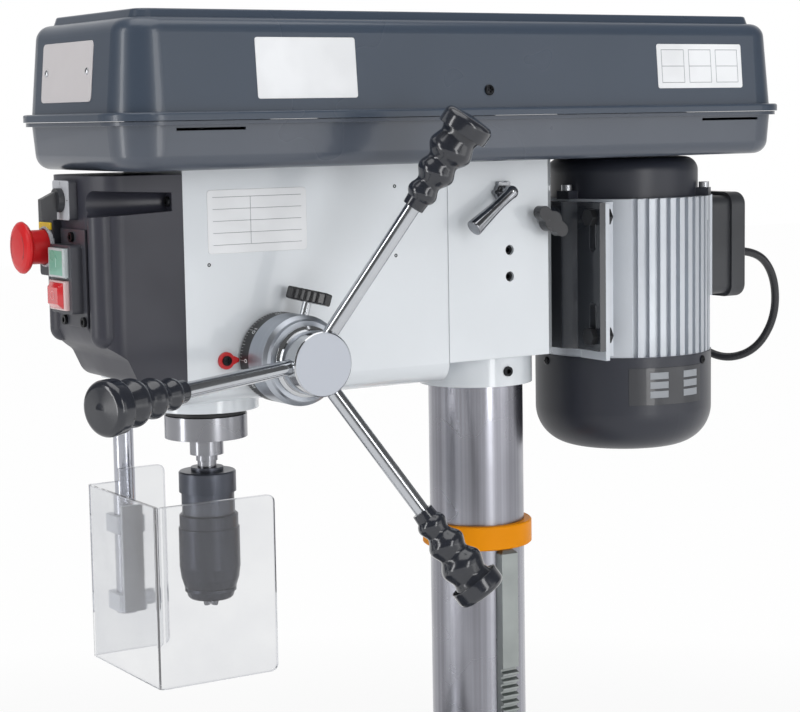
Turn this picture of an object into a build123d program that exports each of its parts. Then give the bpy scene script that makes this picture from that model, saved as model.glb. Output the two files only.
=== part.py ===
from build123d import *
import math
import os

# Bench drill press. Millimetres, +Z up, +X to the operator's right, +Y to the back.
# The pieces are placed about the spindle axis (x = 0, y = 0) with z = 0 on the bench, and are
# moved on writing so that the centre of the base's bolt holes is the origin.

# Fits
RUN_FIT = 0.05          # radial clearance of shafts and slides
SCREW_FIT = 0.1         # radial clearance of screws and pins in their own holes
SCREW_TIP = 2.0         # free depth of a blind hole beyond its screw or pin
FREE_GAP = 0.3          # gap between faces that pass each other
TOUCH = 0.05            # how near an edge lies to a height to count as on it

# Stand
SWING = 430.0
COLUMN_R = 40.0
COLUMN_WALL = 6.0
COLUMN_Y = SWING / 2 + COLUMN_R
BASE_L = 460.0
BASE_W = 290.0
BASE_H = 38.0
BASE_SKIN = 14.0
BASE_SKIRT = 16.0
BASE_REAR = 85.0        # column axis to the base's rear edge
BASE_CORNER = 24.0
BASE_Y = COLUMN_Y + BASE_REAR - BASE_L / 2
BASE_FRONT = BASE_Y - BASE_L / 2
BENCH_HOLE_DX = BASE_W - 50.0
BENCH_HOLE_DY = BASE_L - 60.0
BENCH_HOLE_R = 7.0
BENCH_BOSS_R = 17.0
FOOT_R = 77.0
BASE_SLOT_W = 14.0
BASE_SLOT_DX = 120.0
BASE_SLOT_ROOM = COLUMN_Y - FOOT_R - BASE_FRONT     # from the base's front edge to the column foot
BASE_SLOT_L = BASE_SLOT_ROOM / 2
BASE_SLOT_Y = BASE_FRONT + BASE_SLOT_ROOM / 2
FOOT_EDGE = 6.0         # chamfer round the flange
FOOT_H = 22.0
FOOT_SLEEVE_R = 52.0
FOOT_SLEEVE_H = 70.0
FOOT_BOLT_R = 5.0
FOOT_BOLT_HEAD_R = 9.0
FOOT_BOLT_HEAD_H = 6.5
FOOT_PCD_R = 65.0
FOOT_TOP = BASE_H + FOOT_SLEEVE_H

# Head casting
HEAD_TOP = 943.0
HEAD_HALF_W = 52.0
HEAD_STEP = 0.8         # the rear part stands this much proud of the front part
HEAD_FRONT = -40.0
HEAD_SIDE_H = 162.5
HEAD_BELLY = 16.0       # the front part's rounded belly below the side border
HEAD_REAR_REACH = 50.0  # column axis to the rear face
HEAD_CREASE = 60.0      # column axis to the crease in the side
HEAD_CHAMFER = 11.0
HEAD_WALL = 8.0
HEAD_FLOOR = 10.0
HEAD_REAR = COLUMN_Y + HEAD_REAR_REACH
HEAD_LOW = HEAD_TOP - HEAD_SIDE_H
BELLY_LOW = HEAD_LOW - HEAD_BELLY
BOSS_DROP = 24.5
BOSS_LOW = HEAD_LOW - BOSS_DROP
QUILL_BOSS_R = 42.0
COLLAR_R = 48.0
COLUMN_DEPTH = 67.0     # head top to column top
COLUMN_TOP = HEAD_TOP - COLUMN_DEPTH
GRUB_R = 4.0
GRUB_L = 10.0
GRUB_SOCKET = 4.0
GRUB_DEPTHS = (73.8, 95.6, 174.5)   # below the head top
POCKET_REACH = 10.0     # metal left between the rear pocket and the column's bore wall
ENTRY_Y = COLUMN_Y - 20.0
ENTRY_L = 30.0
ENTRY_OUT = 22.0
ENTRY_Z = HEAD_LOW + 24.0
ENTRY_H = 24.0

# Teeth
TOOTH_ANGLE = math.radians(20)
BACKLASH = 0.3
GEAR_ADDENDUM = 0.9     # times the module
GEAR_DEDENDUM = 1.05
RACK_ADDENDUM = 0.75
RACK_DEDENDUM = 1.15

# Feed, quill and spindle
FEED_MODULE = 2.0
FEED_TEETH = 14
FEED_PITCH_R = FEED_MODULE * FEED_TEETH / 2
FEED_Y = 37.6
FEED_DEPTH = 145.2
FEED_Z = HEAD_TOP - FEED_DEPTH
QUILL_TRAVEL = 85.0
QUILL_R = 26.0
QUILL_BORE_R = 16.0
QUILL_COLLAR_R = 32.5
QUILL_COLLAR_H = 18.0
QUILL_COLLAR_GAP = 5.0
QUILL_OVER = 12.2       # quill above the pinion at full travel
QUILL_COLLAR_TOP = BOSS_LOW - QUILL_COLLAR_GAP
QUILL_LOW = QUILL_COLLAR_TOP - QUILL_COLLAR_H
QUILL_TOP = FEED_Z + QUILL_TRAVEL + QUILL_OVER
QUILL_SLOT_HALF = 14.0
QUILL_BEARING_R = 22.0
QUILL_BEARING_H = 12.0
SPINDLE_R = 12.5
SPINDLE_NOSE_R = 13.25
SPINDLE_NOSE_H = 14.0
SPLINE_R = 10.0
SPLINE_LOW = HEAD_TOP - 43.0
SPLINE_TOP = HEAD_TOP + 87.0
ARBOR_STEP_R = 8.5
ARBOR_STEP_H = 5.0
ARBOR_R = 7.5
ARBOR_H = 9.0
NOSE_LOW = QUILL_LOW - SPINDLE_NOSE_H
STEP_LOW = NOSE_LOW - ARBOR_STEP_H
ARBOR_LOW = STEP_LOW - ARBOR_H
PINION_HALF_W = 13.0
PINION_SIDE_GAP = 2.6
FEED_BORE_R = 16.3
FEED_SHAFT_R = 10.0
FEED_END_R = 12.0
QUILL_PASS = 2.0        # the shaft keeps its waist this far past the quill

# Feed hub, depth ring and handles, along X from the head's side
RING_R = 34.5
RING_X0 = 54.0
RING_X1 = 93.0
RING_LIP = 3.0
HUB_SLEEVE_R = 22.0
HUB_FLANGE_R = 27.0
HUB_X0 = RING_X0 - 1.0
HUB_FLANGE_X1 = 98.0
HUB_STEP = 1.5          # length of the taper from flange to nose
HUB_EDGE = 1.0
HUB_R = 24.5
HUB_X1 = 122.4
HUB_END_T = 10.0
HANDLE_R = 5.8
HANDLE_ANGLES = (61.9, 182.6, 300.0)    # seats as drilled, close to even thirds
HANDLE_ROOT = (109.0, 14.5)     # x and radius where a rod is seated in the hub
HANDLE_TIP = (180.0, 205.6)     # x and radius at the end of its grip
HANDLE_SINK = 6.0               # the rod ends this far inside the grip's end
GRIP_L = 80.0
GRIP_COLLAR_R = 8.3
GRIP_PROFILE = ((7.0, 8.8), (9.2, 10.6), (12.0, 11.6), (15.5, 11.0), (20.5, 9.3), (25.5, 12.2),
                (30.0, 14.4), (34.5, 13.7), (40.0, 11.8), (45.0, 15.0), (49.5, 17.0), (54.0, 16.3),
                (60.0, 14.1), (65.5, 15.6), (70.0, 18.2))      # along the grip, radius
GRIP_END_R = 19.6
GRIP_RIM = 5.0          # rounding of the flared end
GRIP_END_CROWN = 1.4
LOCK_X = 75.0
LOCK_ANGLE = 72.0
LOCK_STEM_R = 3.5
LOCK_BAR_L = 37.0
LOCK_BAR_W = 9.0
LOCK_BAR_H = 9.5
LOCK_BAR_R = 44.6       # radius at which the bar begins
LOCK_BAR_TURN = 26.0
LOCK_BAR_ROUND = 1.5
LOCK_GROOVE_R = 1.4
LOCK_GROOVE_STEP = 5.5
LOCK_GROOVES = 5
POINTER_Y = -7.8
POINTER_R = 6.6
POINTER_T = 2.0
POINTER_WAIST = 0.92    # tail's width at the screw, of the round part's
POINTER_TIP_HALF = 1.2
POINTER_SCREW_R = 2.5
POINTER_SCREW_L = 8.0   # in the head
POINTER_SCREW_HEAD_H = 1.2
CUP_R = 38.0
CUP_L = 32.0
CUP_WALL = 2.5
CUP_END = -(HEAD_HALF_W + CUP_L)
SPRING_T = 1.2
SPRING_W = 14.0
SPRING_R0 = 13.0
SPRING_PITCH = 3.6
SPRING_HALF_TURNS = 11

# Keyless chuck
SEAL_R = 12.8
SEAL_H = 3.0
CHUCK_COLLAR_R = 22.5
CHUCK_COLLAR_H = 16.5
CHUCK_EDGE = 1.0
CHUCK_NECK_R = 20.8
CHUCK_NECK_H = 16.5
CHUCK_CORE_R = 20.3
SLEEVE_TOP_R = 23.15
SLEEVE_R = 24.0
SLEEVE_END_R = 18.0
SLEEVE_BAND_H = 11.0
SLEEVE_MID_H = 31.0
SLEEVE_TAPER_H = 25.6
SLEEVE_MOUTH_R = 15.6
SLEEVE_MOUTH_H = 6.0
JAW_R = 3.2
JAW_TIP_R = 2.6
JAW_ANGLE = 15.0
JAW_L = 31.0
JAW_PROUD = 5.4
JAW_TRAVEL = 21.0
CHUCK_TOP = ARBOR_LOW + 1.0
COLLAR_LOW = CHUCK_TOP - CHUCK_COLLAR_H
NECK_LOW = COLLAR_LOW - CHUCK_NECK_H
SLEEVE_TOP = NECK_LOW - 1.0
SLEEVE_LOW = SLEEVE_TOP - SLEEVE_BAND_H - SLEEVE_MID_H - SLEEVE_TAPER_H
CORE_LOW = SLEEVE_LOW + SLEEVE_MOUTH_H + FREE_GAP
JAW_LOW = SLEEVE_LOW - JAW_PROUD
JAW_ANGLES = [math.radians(30 + 120 * k) for k in range(3)]

# Belt cover
COVER_HALF_W = 99.3
COVER_FRONT = -106.3
COVER_REAR = COLUMN_Y + 257.7
COVER_CORNER = 32.0
COVER_WALL = 2.0
COVER_DRAFT = 5.0
COVER_L = COVER_REAR - COVER_FRONT
COVER_MID = (COVER_FRONT + COVER_REAR) / 2
PAN_H = 36.0
PAN_DRAW = PAN_H * math.tan(math.radians(COVER_DRAFT))
PAN_HOLE_GAP = 3.0      # round the spindle sleeve
PAN_SLOT_GAP = 4.0      # round the motor shaft
PAN_ROUND = 12.0
PAN_RIM_H = 3.0
PAN_RIM_OUT = 4.5
LID_LIP_H = 6.0
LID_LIP_OUT = 6.5
LID_NOTCH_GAP = 1.5
LID_H = 74.0            # pan rim to the lid's shoulder
LID_RAISE = 6.5
LID_RAISE_INSET = 13.0
LID_RAISE_DRAFT = 20.0
LID_ROUND = 12.0
PAN_TOP = HEAD_TOP + PAN_H
LID_LOW = PAN_TOP + FREE_GAP
HINGE_X = -111.0
HINGE_R = 4.5
HINGE_PIN_R = 2.0
HINGE_YS = (90.0, 330.0)
HINGE_LEN = 44.0
HINGE_EYE = 12.0
SLOT_H = 2.0
SLOT_DROP = 4.0
SLOT_SPANS = ((-66.0, -10.0), (421.0, 482.0))
PAN_BOLT_R = 3.0
PAN_BOLT_HEAD_R = 5.5
PAN_BOLT_HEAD_H = 4.0
PAN_BOLT_L = 16.0
PAN_BOLTS = ((-46.0, -30.0), (46.0, -30.0), (-46.0, 280.0), (46.0, 280.0))

# Pulleys and belts
STEP_RADII = (40.0, 52.0, 64.0, 76.0)
STEP_H = 19.0
RIM_OVER = 5.0
GROOVE_UNDER = 5.0
GROOVE_HALF = 6.6
V_ANGLE = math.radians(19)
BELT_OVER = 4.0
BELT_HALF = 5.5
PULLEY_LOW = HEAD_TOP + 14.0
SLEEVE_TUBE_R = 20.0
BEARING_R = 31.0
BEARING_H = 15.0
BEARING_SPACE = 4.0
BEARING_SEAT_LOW = HEAD_TOP - 2 * BEARING_H - BEARING_SPACE
IDLER_Y = 185.0
IDLER_POST_R = 8.0
IDLER_ARM_T = 8.0
IDLER_ARM_R = 17.0
IDLER_PIVOT_Y = 128.0
IDLER_PIN_L = 20.0      # the pivot pin's length in the head
IDLER_BOSS_H = 24.0
IDLER_WEB_T = 10.0
SPINDLE_BELT_STEP = 2
MOTOR_BELT_STEP = 0

# Motor and its slide
MOTOR_Y = COLUMN_Y + 158.0
MOTOR_TRAVEL = 13.0
MOTOR_R = 76.5
GROOVE_DEPTH = 5.0
GROOVE_W = 4.6
GROOVE_STEP = 7.5       # degrees between cooling grooves
GROOVE_COUNT = 33       # spread evenly about the motor's back
BODY_TOP = HEAD_TOP - 36.0
BODY_LOW = BODY_TOP - 135.0
STATOR_BORE_R = 40.5
ROTOR_GAP = 0.5
BELL_R = 66.0
BELL_GAP = 2.0          # end bell to the pan
BELL_H = HEAD_TOP - BODY_TOP - BELL_GAP
BELL_ROUND = 12.0
BELL_WALL = 6.0
BELL_TOP_T = 8.0
BELL_HUB_R = 22.0
LUG_ANGLES = (-79.0, 41.0, 161.0)
LUG_R = 77.0
LUG_H = 7.0
LUG_W = 14.0
TIE_R = 72.0
TIE_BOLT_R = 2.5
TIE_HEAD_R = 4.5
TIE_HEAD_H = 5.0
TIE_DEPTH = 12.0        # of the tie bolts in the body
COVER_R = 77.5
FAN_COVER_H = 83.0
FAN_COVER_ROUND = 34.0
FAN_COVER_T = 1.5
FAN_SLOTS = 12
FAN_INLET_R = 13.0
FAN_SLOT_R = 28.5
FAN_SLOT_L = 24.0
FAN_SLOT_W = 4.0
END_PLATE_H = 9.0
SHAFT_R = 12.0
FAN_R = 60.0
FAN_BLADES = 8
FAN_BLADE_T = 2.5
FAN_DISC_T = 4.0
FAN_HUB_H = 24.0
FAN_HUB_WALL = 8.0
FAN_DROP = 50.0
SHAFT_TAIL = 54.0
ROTOR_END = 15.0        # from the rotor's ends to the body's ends
MOTOR_FOOT_Y = COLUMN_Y + 78.0
MOTOR_FOOT_T = 4.0
MOTOR_FOOT_X = (46.0, 80.0)
MOTOR_FOOT_WEB = 9.0
MOTOR_FOOT_LOW = BODY_LOW + 2.0
MOTOR_FOOT_TOP = BODY_TOP - 2.0
BRACKET_T = 6.0
BRACKET_STEP = 8.0      # the middle of the bent plate stands this much nearer the head
BRACKET_BEND = (37.0, 49.0)
BRACKET_LOW = BODY_LOW + 10.0
BRACKET_TOP = BODY_TOP - 1.0
BRACKET_SLOT_X = 70.0
BRACKET_SLOT_L = 34.0
BRACKET_SLOT_W = 8.6
BRACKET_BOLT_R = 4.0
BRACKET_BOLT_HEAD_R = 7.5
BRACKET_BOLT_HEAD_H = 5.5
BRACKET_SLOT_INSET = 7.0
BRACKET_NUT_H = 6.0
SLIDE_R = 10.0
SLIDE_X = 27.0
SLIDE_DEPTH = 51.0
SLIDE_IN = 85.0         # how far a rod reaches into the head
SLIDE_Z = HEAD_TOP - SLIDE_DEPTH
SLIDE_TIP_Y = HEAD_REAR - SLIDE_IN
SLIDE_BOTTOM = 3.0      # free length of the bore behind a rod that is pushed in
TBOX_HALF_W = 40.0
TBOX_LID_OVER = 3.0
TBOX_LOW = BODY_TOP - 89.0
TBOX_TOP = BODY_TOP - 2.0
TBOX_PAD_Y = MOTOR_Y + 69.0
TBOX_BASE_T = 20.0
TBOX_LID_T = 18.0
TBOX_CORNER = 8.0
TBOX_ROUND = 5.0
GLAND_R = 8.5
GLAND_L = 14.0
GLAND_Z = BODY_TOP - 55.0
CABLE_R = 3.75
CABLE_BEND = 0.45       # of the shorter run at a corner, taken up by its bend
CABLE_START = (0.0, TBOX_PAD_Y + TBOX_BASE_T + TBOX_LID_T + GLAND_L, GLAND_Z)
CABLE_END = (-(HEAD_HALF_W + HEAD_STEP + ENTRY_OUT / 2), ENTRY_Y, ENTRY_Z + ENTRY_H / 2)
CABLE_ROUTE = [CABLE_START, (0.0, 572.0, GLAND_Z), (-6.0, 604.0, 826.0), (-12.0, 606.0, 782.0),
               (-26.0, 576.0, 748.0), (-56.0, 554.0, 748.0), (-92.0, 544.0, 762.0), (-112.0, 504.0, 774.0),
               (-112.0, 424.0, 782.0), (-98.0, 346.0, 800.0), (CABLE_END[0], 290.0, CABLE_END[2]), CABLE_END]

# Belt tension lever and slide lock
LEVER_MODULE = 1.5
LEVER_TEETH = 24
LEVER_PITCH_R = LEVER_MODULE * LEVER_TEETH / 2
LEVER_Y = COLUMN_Y - 8.0
LEVER_Z = SLIDE_Z + SLIDE_R - 2.9 + LEVER_PITCH_R
LEVER_SHAFT_R = 7.0
LEVER_BOSS_R = 8.0
LEVER_LOBES = 6         # of the boss, for the fingers
LEVER_LOBE_R = 1.8
LEVER_NECK_R = 5.4
LEVER_X = 68.0
LEVER_ARM = (-39.6, -27.7)
LEVER_ARM_OUT = 3.0     # the arm's end stands this much further out than its root
LEVER_PROFILE = ((0.0, 5.3), (0.3, 4.7), (0.65, 5.7), (1.0, 7.0))      # share of the arm, radius
LEVER_EDGE = 1.0
LEVER_BOSS_L = 5.0
LEVER_SHAFT_X0 = 3.0
LEVER_RACK_HALF = 12.0  # length of teeth to each side of the pinion
LEVER_PINION_HALF = 7.0
LEVER_POCKET_GAP = 2.0
LOCK_KNOB_Y = COLUMN_Y + 32.0
LOCK_STUD_R = 4.0
WING_X0 = 61.0
WING_T = 10.0
WING_L = 34.0
WING_R = 8.5
WING_TURN = 40.0

# Control box
BOX_FRONT = -108.0
BOX_FACE_HALF = 31.4
BOX_SHOULDER_Y = -97.0
BOX_TOP = HEAD_TOP - 3.3
BOX_LOW = HEAD_TOP - 160.3
BOX_CHIN_Z = BOX_TOP - 121.5
BOX_NECK_Y = -88.0
BOX_NECK_Z = BOX_TOP - 135.7
BOX_HEEL_Y = -78.0
BOX_WALL = 3.0
BOX_RIB_T = 4.0
BOX_CHIN_ROUND = 20.0
BOX_NECK_ROUND = 8.0
BOX_HEEL_ROUND = 14.0
BOX_SHOULDER_ROUND = 16.0
BOX_FACE_ROUND = 36.0
RIDGE_X = 38.5          # upright ridge on each front corner, below the pocket
RIDGE_Y = -100.5
RIDGE_R = 10.0
RIDGE_LOW = BOX_CHIN_Z + 4.0
POCKET_Y1 = -49.0
POCKET_Z = BOX_TOP - 20.2
POCKET_FRONT = (25.0, 9.7)      # depth from the side and half height, at the front
POCKET_REAR = (12.0, 6.8)
PAD_X = -31.0
PAD_W = 28.0
PAD_H = 44.0
PAD_T = 7.0
PAD_ROUND = 3.0
PAD_SINK = 8.0          # the pad runs this far into the shoulder
ESTOP_Z = BOX_TOP - 54.0
ESTOP_R = 19.8
ESTOP_STEM_R = 13.0
ESTOP_STEM_L = 15.0
ESTOP_HEAD_T = 9.0
ESTOP_RIM = ((1.5, 2.4), (0.0, 4.4), (0.4, 6.0), (2.0, 7.4))   # in from the widest place, out from the stem
ESTOP_FACE = ((0.7, 0.5), (0.35, 0.1))                         # share of the radius, behind the crown
ESTOP_TRAVEL = 4.0
ESTOP_SINK = 8.0
PLATE_T = 1.6
PLATE_X = (-16.0, 29.5)
PLATE_TOP = BOX_TOP - 39.5
PLATE_H = 73.0
SWITCH_X = 3.8
SWITCH_W = 39.0
SWITCH_H = 51.0
SWITCH_T = 9.0
SWITCH_TOP = BOX_TOP - 51.0
SWITCH_ROUND = 2.0
SWITCH_FRONT = BOX_FRONT - PLATE_T - SWITCH_T
BUTTON_W = 29.0
BUTTON_H = 22.0
BUTTON_PROUD = 4.0
BUTTON_SINK = 6.0
BUTTON_TRAVEL = 3.0
BUTTON_INSET = 2.2
BUTTON_ROUND = 1.2
SELECTOR_SIDE = 29.5
SELECTOR_T = 6.6
SELECTOR_Z = BOX_TOP - 18.0
SELECTOR_FRONT = BOX_FRONT - SELECTOR_T
KNOB_R = 10.0
KNOB_T = 5.0
BLADE_W = 6.5
BLADE_OUT = 17.0
BLADE_UP = 9.0
BLADE_DOWN = 14.5
BLADE_SLOPE = 8.0       # the blade's top falls this much towards its front
BLADE_ROOT = 2.0        # from the boss's edge to the blade's root
PLATE_SCREW_R = 2.2
PLATE_SCREW_HEAD_R = 3.8
PLATE_SCREW_HEAD_H = 2.2
BOX_SCREW_L = 10.0      # in the head
PLATE_SCREWS = ((6.0, -6.0), (-11.0, -69.0), (24.5, -68.5))     # x, and z below the plate's top

# Chuck guard
GUARD_ROD_R = 8.25
GUARD_X = -80.0
GUARD_Y = -35.0
GUARD_ROD_LOW = 582.0
GUARD_LUG_R = 16.0
GUARD_LUG_H = 40.0
GUARD_LUG_LOW = HEAD_LOW - 5.0
GUARD_LUG_TOP = GUARD_LUG_LOW + GUARD_LUG_H
GUARD_HALF_W = 64.0
GUARD_FRONT = -75.0
GUARD_RIGHT_L = 100.0
GUARD_LEFT_L = 67.0
GUARD_T = 3.0
GUARD_LOW = 554.7
GUARD_H = 138.7
GUARD_TAB_H = 10.0
GUARD_TAB_L = 40.0
GUARD_ROUND = 6.0
GUARD_BEND = 2.0
STRAP_T = 3.0
STRAP_W = 18.0
STRAP_LOW = GUARD_ROD_LOW + 3.0
STRAP_H = 87.0
CLAMP_H = 14.0
CLAMP_LOWS = (STRAP_LOW, STRAP_LOW + 64.0)
CLAMP_WRAP = 12.0
CLAMP_ROUND = 4.0
CLAMP_KNOB_R = 6.5
CLAMP_KNOB_L = 11.0

# Rack, table and table bracket
RING_BAND_R = 46.5
RING_BAND_LOW = 618.0
RING_BAND_H = 20.0
LIFT_MODULE = 2.0
LIFT_TEETH = 14
LIFT_PITCH_R = LIFT_MODULE * LIFT_TEETH / 2
RACK_W = 16.0
RACK_BEVEL = 3.0        # round the upper end
RACK_T = 8.4
RACK_TEETH_TOP = 521.0
RACK_TEETH_LOW = 150.0
RACK_PITCH_X = COLUMN_R + FREE_GAP + RACK_T - RACK_ADDENDUM * LIFT_MODULE
LIFT_X = RACK_PITCH_X + LIFT_PITCH_R
TABLE_TOP = 400.0
TABLE_SIDE = 290.0
TABLE_T = 16.0
TABLE_CORNER = 14.0
TABLE_HOLE_R = 14.0
TABLE_SLOT_DX = 150.0
TABLE_SLOT_DY = 140.0
TABLE_SLOT_L = 80.0
TABLE_SLOT_W = 14.0
TILT_DROP = 62.0
TILT_Z = TABLE_TOP - TILT_DROP
TILT_R = 34.0
TILT_PIN_R = 8.0
TILT_FACE_Y = 70.0
TILT_FLANGE_T = 12.0
TABLE_HUB_Y0 = 18.0
TABLE_WEB_HALF = 30.0
CLASP_R = 62.0
CLASP_H = 110.0
CLASP_LOW = TILT_Z - 66.0
ARM_HALF = 26.0
ARM_H = 52.0
LIFT_Z = CLASP_LOW + 48.0
LIFT_WIDTH = 12.0
LIFT_PIN_R = 5.0
WORM_R = 8.0
WORM_GAP = 0.7
GEARBOX_X1 = 92.0
GEARBOX_HALF = 22.0
GEARBOX_LOW = LIFT_Z - 22.0
CRANK_X = 108.0
CRANK_ARM = 85.0
CRANK_ARM_W = 16.0
CRANK_ARM_T = 8.0
CRANK_GRIP_R = 9.5
CRANK_GRIP_L = 62.0
CRANK_ANGLE = -60.0
CLASP_SLIT = 3.0
CLASP_LUG_OUT = 34.0
CLASP_LUG_HALF = 20.0
CLASP_LUG_H = 46.0
CLAMP_BOLT_R = 5.0
CLAMP_HUB_R = 9.0
CLAMP_HUB_L = 16.0
CLAMP_ARM_R = 4.5
CLAMP_ARM_L = 64.0
CLAMP_BALL_R = 9.0
WORM_Z = LIFT_Z + LIFT_PITCH_R + GEAR_ADDENDUM * LIFT_MODULE + WORM_GAP + WORM_R
GEARBOX_TOP = WORM_Z + WORM_R + 8
CLAMP_Y = COLUMN_Y + CLASP_R + CLASP_LUG_OUT / 2 - 4
CLAMP_Z = CLASP_LOW + CLASP_H / 2


def box(x0, x1, y0, y1, z0, z1):
    """A block between two corners."""
    return Solid.make_box(x1 - x0, y1 - y0, z1 - z0, Plane((x0, y0, z0)))


def rod(start, end, radius, end_radius=None):
    """A round bar, or a tapered one, between two points."""
    axis = Vector(*end) - Vector(*start)
    plane = Plane(origin=start, z_dir=axis)
    if end_radius is None:
        return Solid.make_cylinder(radius, axis.length, plane)
    return Solid.make_cone(radius, end_radius, axis.length, plane)


def upright(x, y, z0, z1, radius):
    """A vertical round bar."""
    return rod((x, y, z0), (x, y, z1), radius)


def turned(points, plane=Plane.XY):
    """A piece turned about the plane's normal from (radius, height) points."""
    outline = Polyline(*[(r, 0, h) for r, h in points], close=True)
    return plane.location * revolve(make_face(outline), Axis.Z).solid()


def prism(points, axis, low, high):
    """A block with a polygon outline, drawn across the named axis."""
    if axis == "x":
        outline = [(low, a, b) for a, b in points]
        way = (high - low, 0, 0)
    elif axis == "y":
        outline = [(a, low, b) for a, b in points]
        way = (0, high - low, 0)
    else:
        outline = [(a, b, low) for a, b in points]
        way = (0, 0, high - low)
    return Solid.extrude(Face(Wire.make_polygon(outline)), Vector(*way))


def rounded_block(width, length, corner, height, centre, taper=0):
    """An upright block with rounded corners in plan; a positive taper draws the top in."""
    return extrude(Pos(*centre) * RectangleRounded(width, length, corner), height, taper=taper).solid()


def flat_edges(shape, z):
    """The edges of a piece that lie at one height."""
    return [e for e in shape.edges() if abs(e.center().Z - z) < TOUCH]


def joined(*shapes):
    """Several solids fused into one piece."""
    whole = shapes[0]
    for shape in shapes[1:]:
        whole = whole + shape
    return whole


def cut(shape, *tools):
    """A piece with holes and recesses taken out of it."""
    for tool in tools:
        shape = shape - tool
    return shape


def involute(angle):
    return math.tan(angle) - angle


def gear(module, teeth, width, plane):
    """A spur gear from the plane's origin along its normal, one tooth centred on its x direction."""
    pitch_r = module * teeth / 2
    base_r = pitch_r * math.cos(TOOTH_ANGLE)
    tip_r = pitch_r + GEAR_ADDENDUM * module
    root_r = pitch_r - GEAR_DEDENDUM * module
    half_at_pitch = (math.pi * module / 2 - BACKLASH) / 2 / pitch_r

    def half_angle(radius):
        flank = math.acos(min(1, base_r / max(radius, base_r)))
        return half_at_pitch + involute(TOOTH_ANGLE) - involute(flank)

    radii = (root_r, max(base_r, root_r + 0.01), pitch_r, tip_r)
    outline = []
    for k in range(teeth):
        middle = 2 * math.pi * k / teeth
        side = [(r, middle - half_angle(r)) for r in radii]
        side += [(r, middle + half_angle(r)) for r in reversed(radii)]
        outline += [(r * math.cos(a), r * math.sin(a)) for r, a in side]
    return plane.location * prism(outline, "z", 0, width)


def rack_gap(module):
    """Half outline of the gap between two rack teeth: (height over the pitch line, along the rack)."""
    half_at_pitch = (math.pi * module / 2 + BACKLASH) / 2
    top = RACK_ADDENDUM * module + FREE_GAP
    root = -RACK_DEDENDUM * module
    spread = math.tan(TOOTH_ANGLE)
    return ((root, half_at_pitch + root * spread), (top, half_at_pitch + top * spread))


def rack_places(middle, low, high, module):
    """Places of the gaps between rack teeth, one of them at the middle."""
    pitch = math.pi * module
    first = math.ceil((low - middle) / pitch)
    last = math.floor((high - middle) / pitch)
    return [middle + k * pitch for k in range(first, last + 1)]


def hex_bolt(plane, shank_r, shank_l, head_r, head_h):
    """A hexagon bolt with its head seated on the plane, its shank going in against the normal."""
    head = Solid.extrude(Face(Wire.make_polygon(
        [(head_r * math.cos(a * math.pi / 3), head_r * math.sin(a * math.pi / 3), 0) for a in range(6)]
    )), Vector(0, 0, head_h))
    shank = Solid.make_cylinder(shank_r, shank_l, Plane((0, 0, -shank_l)))
    return plane.location * joined(head, shank)


def cap_screw(plane, shank_r, shank_l, head_r, head_h):
    """A socket cap screw with its head seated on the plane, its shank going in against the normal."""
    head = Solid.make_cylinder(head_r, head_h)
    shank = Solid.make_cylinder(shank_r, shank_l, Plane((0, 0, -shank_l)))
    socket = Solid.make_cylinder(head_r * 0.5, head_h * 0.6, Plane((0, 0, head_h * 0.4)))
    return plane.location * cut(joined(head, shank), socket)


def write(name, *shapes):
    """Write a node, moved so that the base's centre is the origin."""
    solids = [solid for shape in shapes for solid in shape.solids()]
    export_step(Pos(0, -BASE_Y, 0) * Compound(solids), f"parts/{name}.step")


def side_plane(x, y, z):
    """A plane on the right-hand side of the machine, facing +X."""
    return Plane(origin=(x, y, z), x_dir=(0, 1, 0), z_dir=(1, 0, 0))


def front_plane(x, y, z):
    """A plane facing the operator."""
    return Plane(origin=(x, y, z), x_dir=(1, 0, 0), z_dir=(0, -1, 0))


def base():
    """Cast base with a ground top, hollow below, with bench holes and two clamping slots."""
    block = rounded_block(BASE_W, BASE_L, BASE_CORNER, BASE_H, (0, BASE_Y, 0))
    hollow = rounded_block(BASE_W - 2 * BASE_SKIRT, BASE_L - 2 * BASE_SKIRT, BASE_CORNER / 2,
                           BASE_H - BASE_SKIN, (0, BASE_Y, 0))
    piece = cut(block, hollow)
    places = [(sx * BENCH_HOLE_DX / 2, BASE_Y + sy * BENCH_HOLE_DY / 2) for sx in (-1, 1) for sy in (-1, 1)]
    bosses = [upright(x, y, 0, BASE_H - BASE_SKIN, BENCH_BOSS_R) for x, y in places]
    foot_boss = upright(0, COLUMN_Y, 0, BASE_H - BASE_SKIN, FOOT_R) & block
    piece = joined(piece, *bosses, foot_boss)
    holes = [upright(x, y, 0, BASE_H, BENCH_HOLE_R) for x, y in places]
    slots = []
    for sx in (-1, 1):
        sketch = Pos(sx * BASE_SLOT_DX / 2, BASE_SLOT_Y, 0) * SlotOverall(BASE_SLOT_L, BASE_SLOT_W,
                                                                          rotation=90)
        slots.append(extrude(sketch, BASE_H).solid())
    bolt_holes = [upright(x, y, BASE_H - FOOT_H, BASE_H, FOOT_BOLT_R + SCREW_FIT) for x,
                  y in foot_bolt_places()]
    return cut(piece, *holes, *slots, *bolt_holes)


def foot_bolt_places():
    angles = [math.radians(45 + 90 * k) for k in range(4)]
    return [(FOOT_PCD_R * math.cos(a), COLUMN_Y + FOOT_PCD_R * math.sin(a)) for a in angles]


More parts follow.
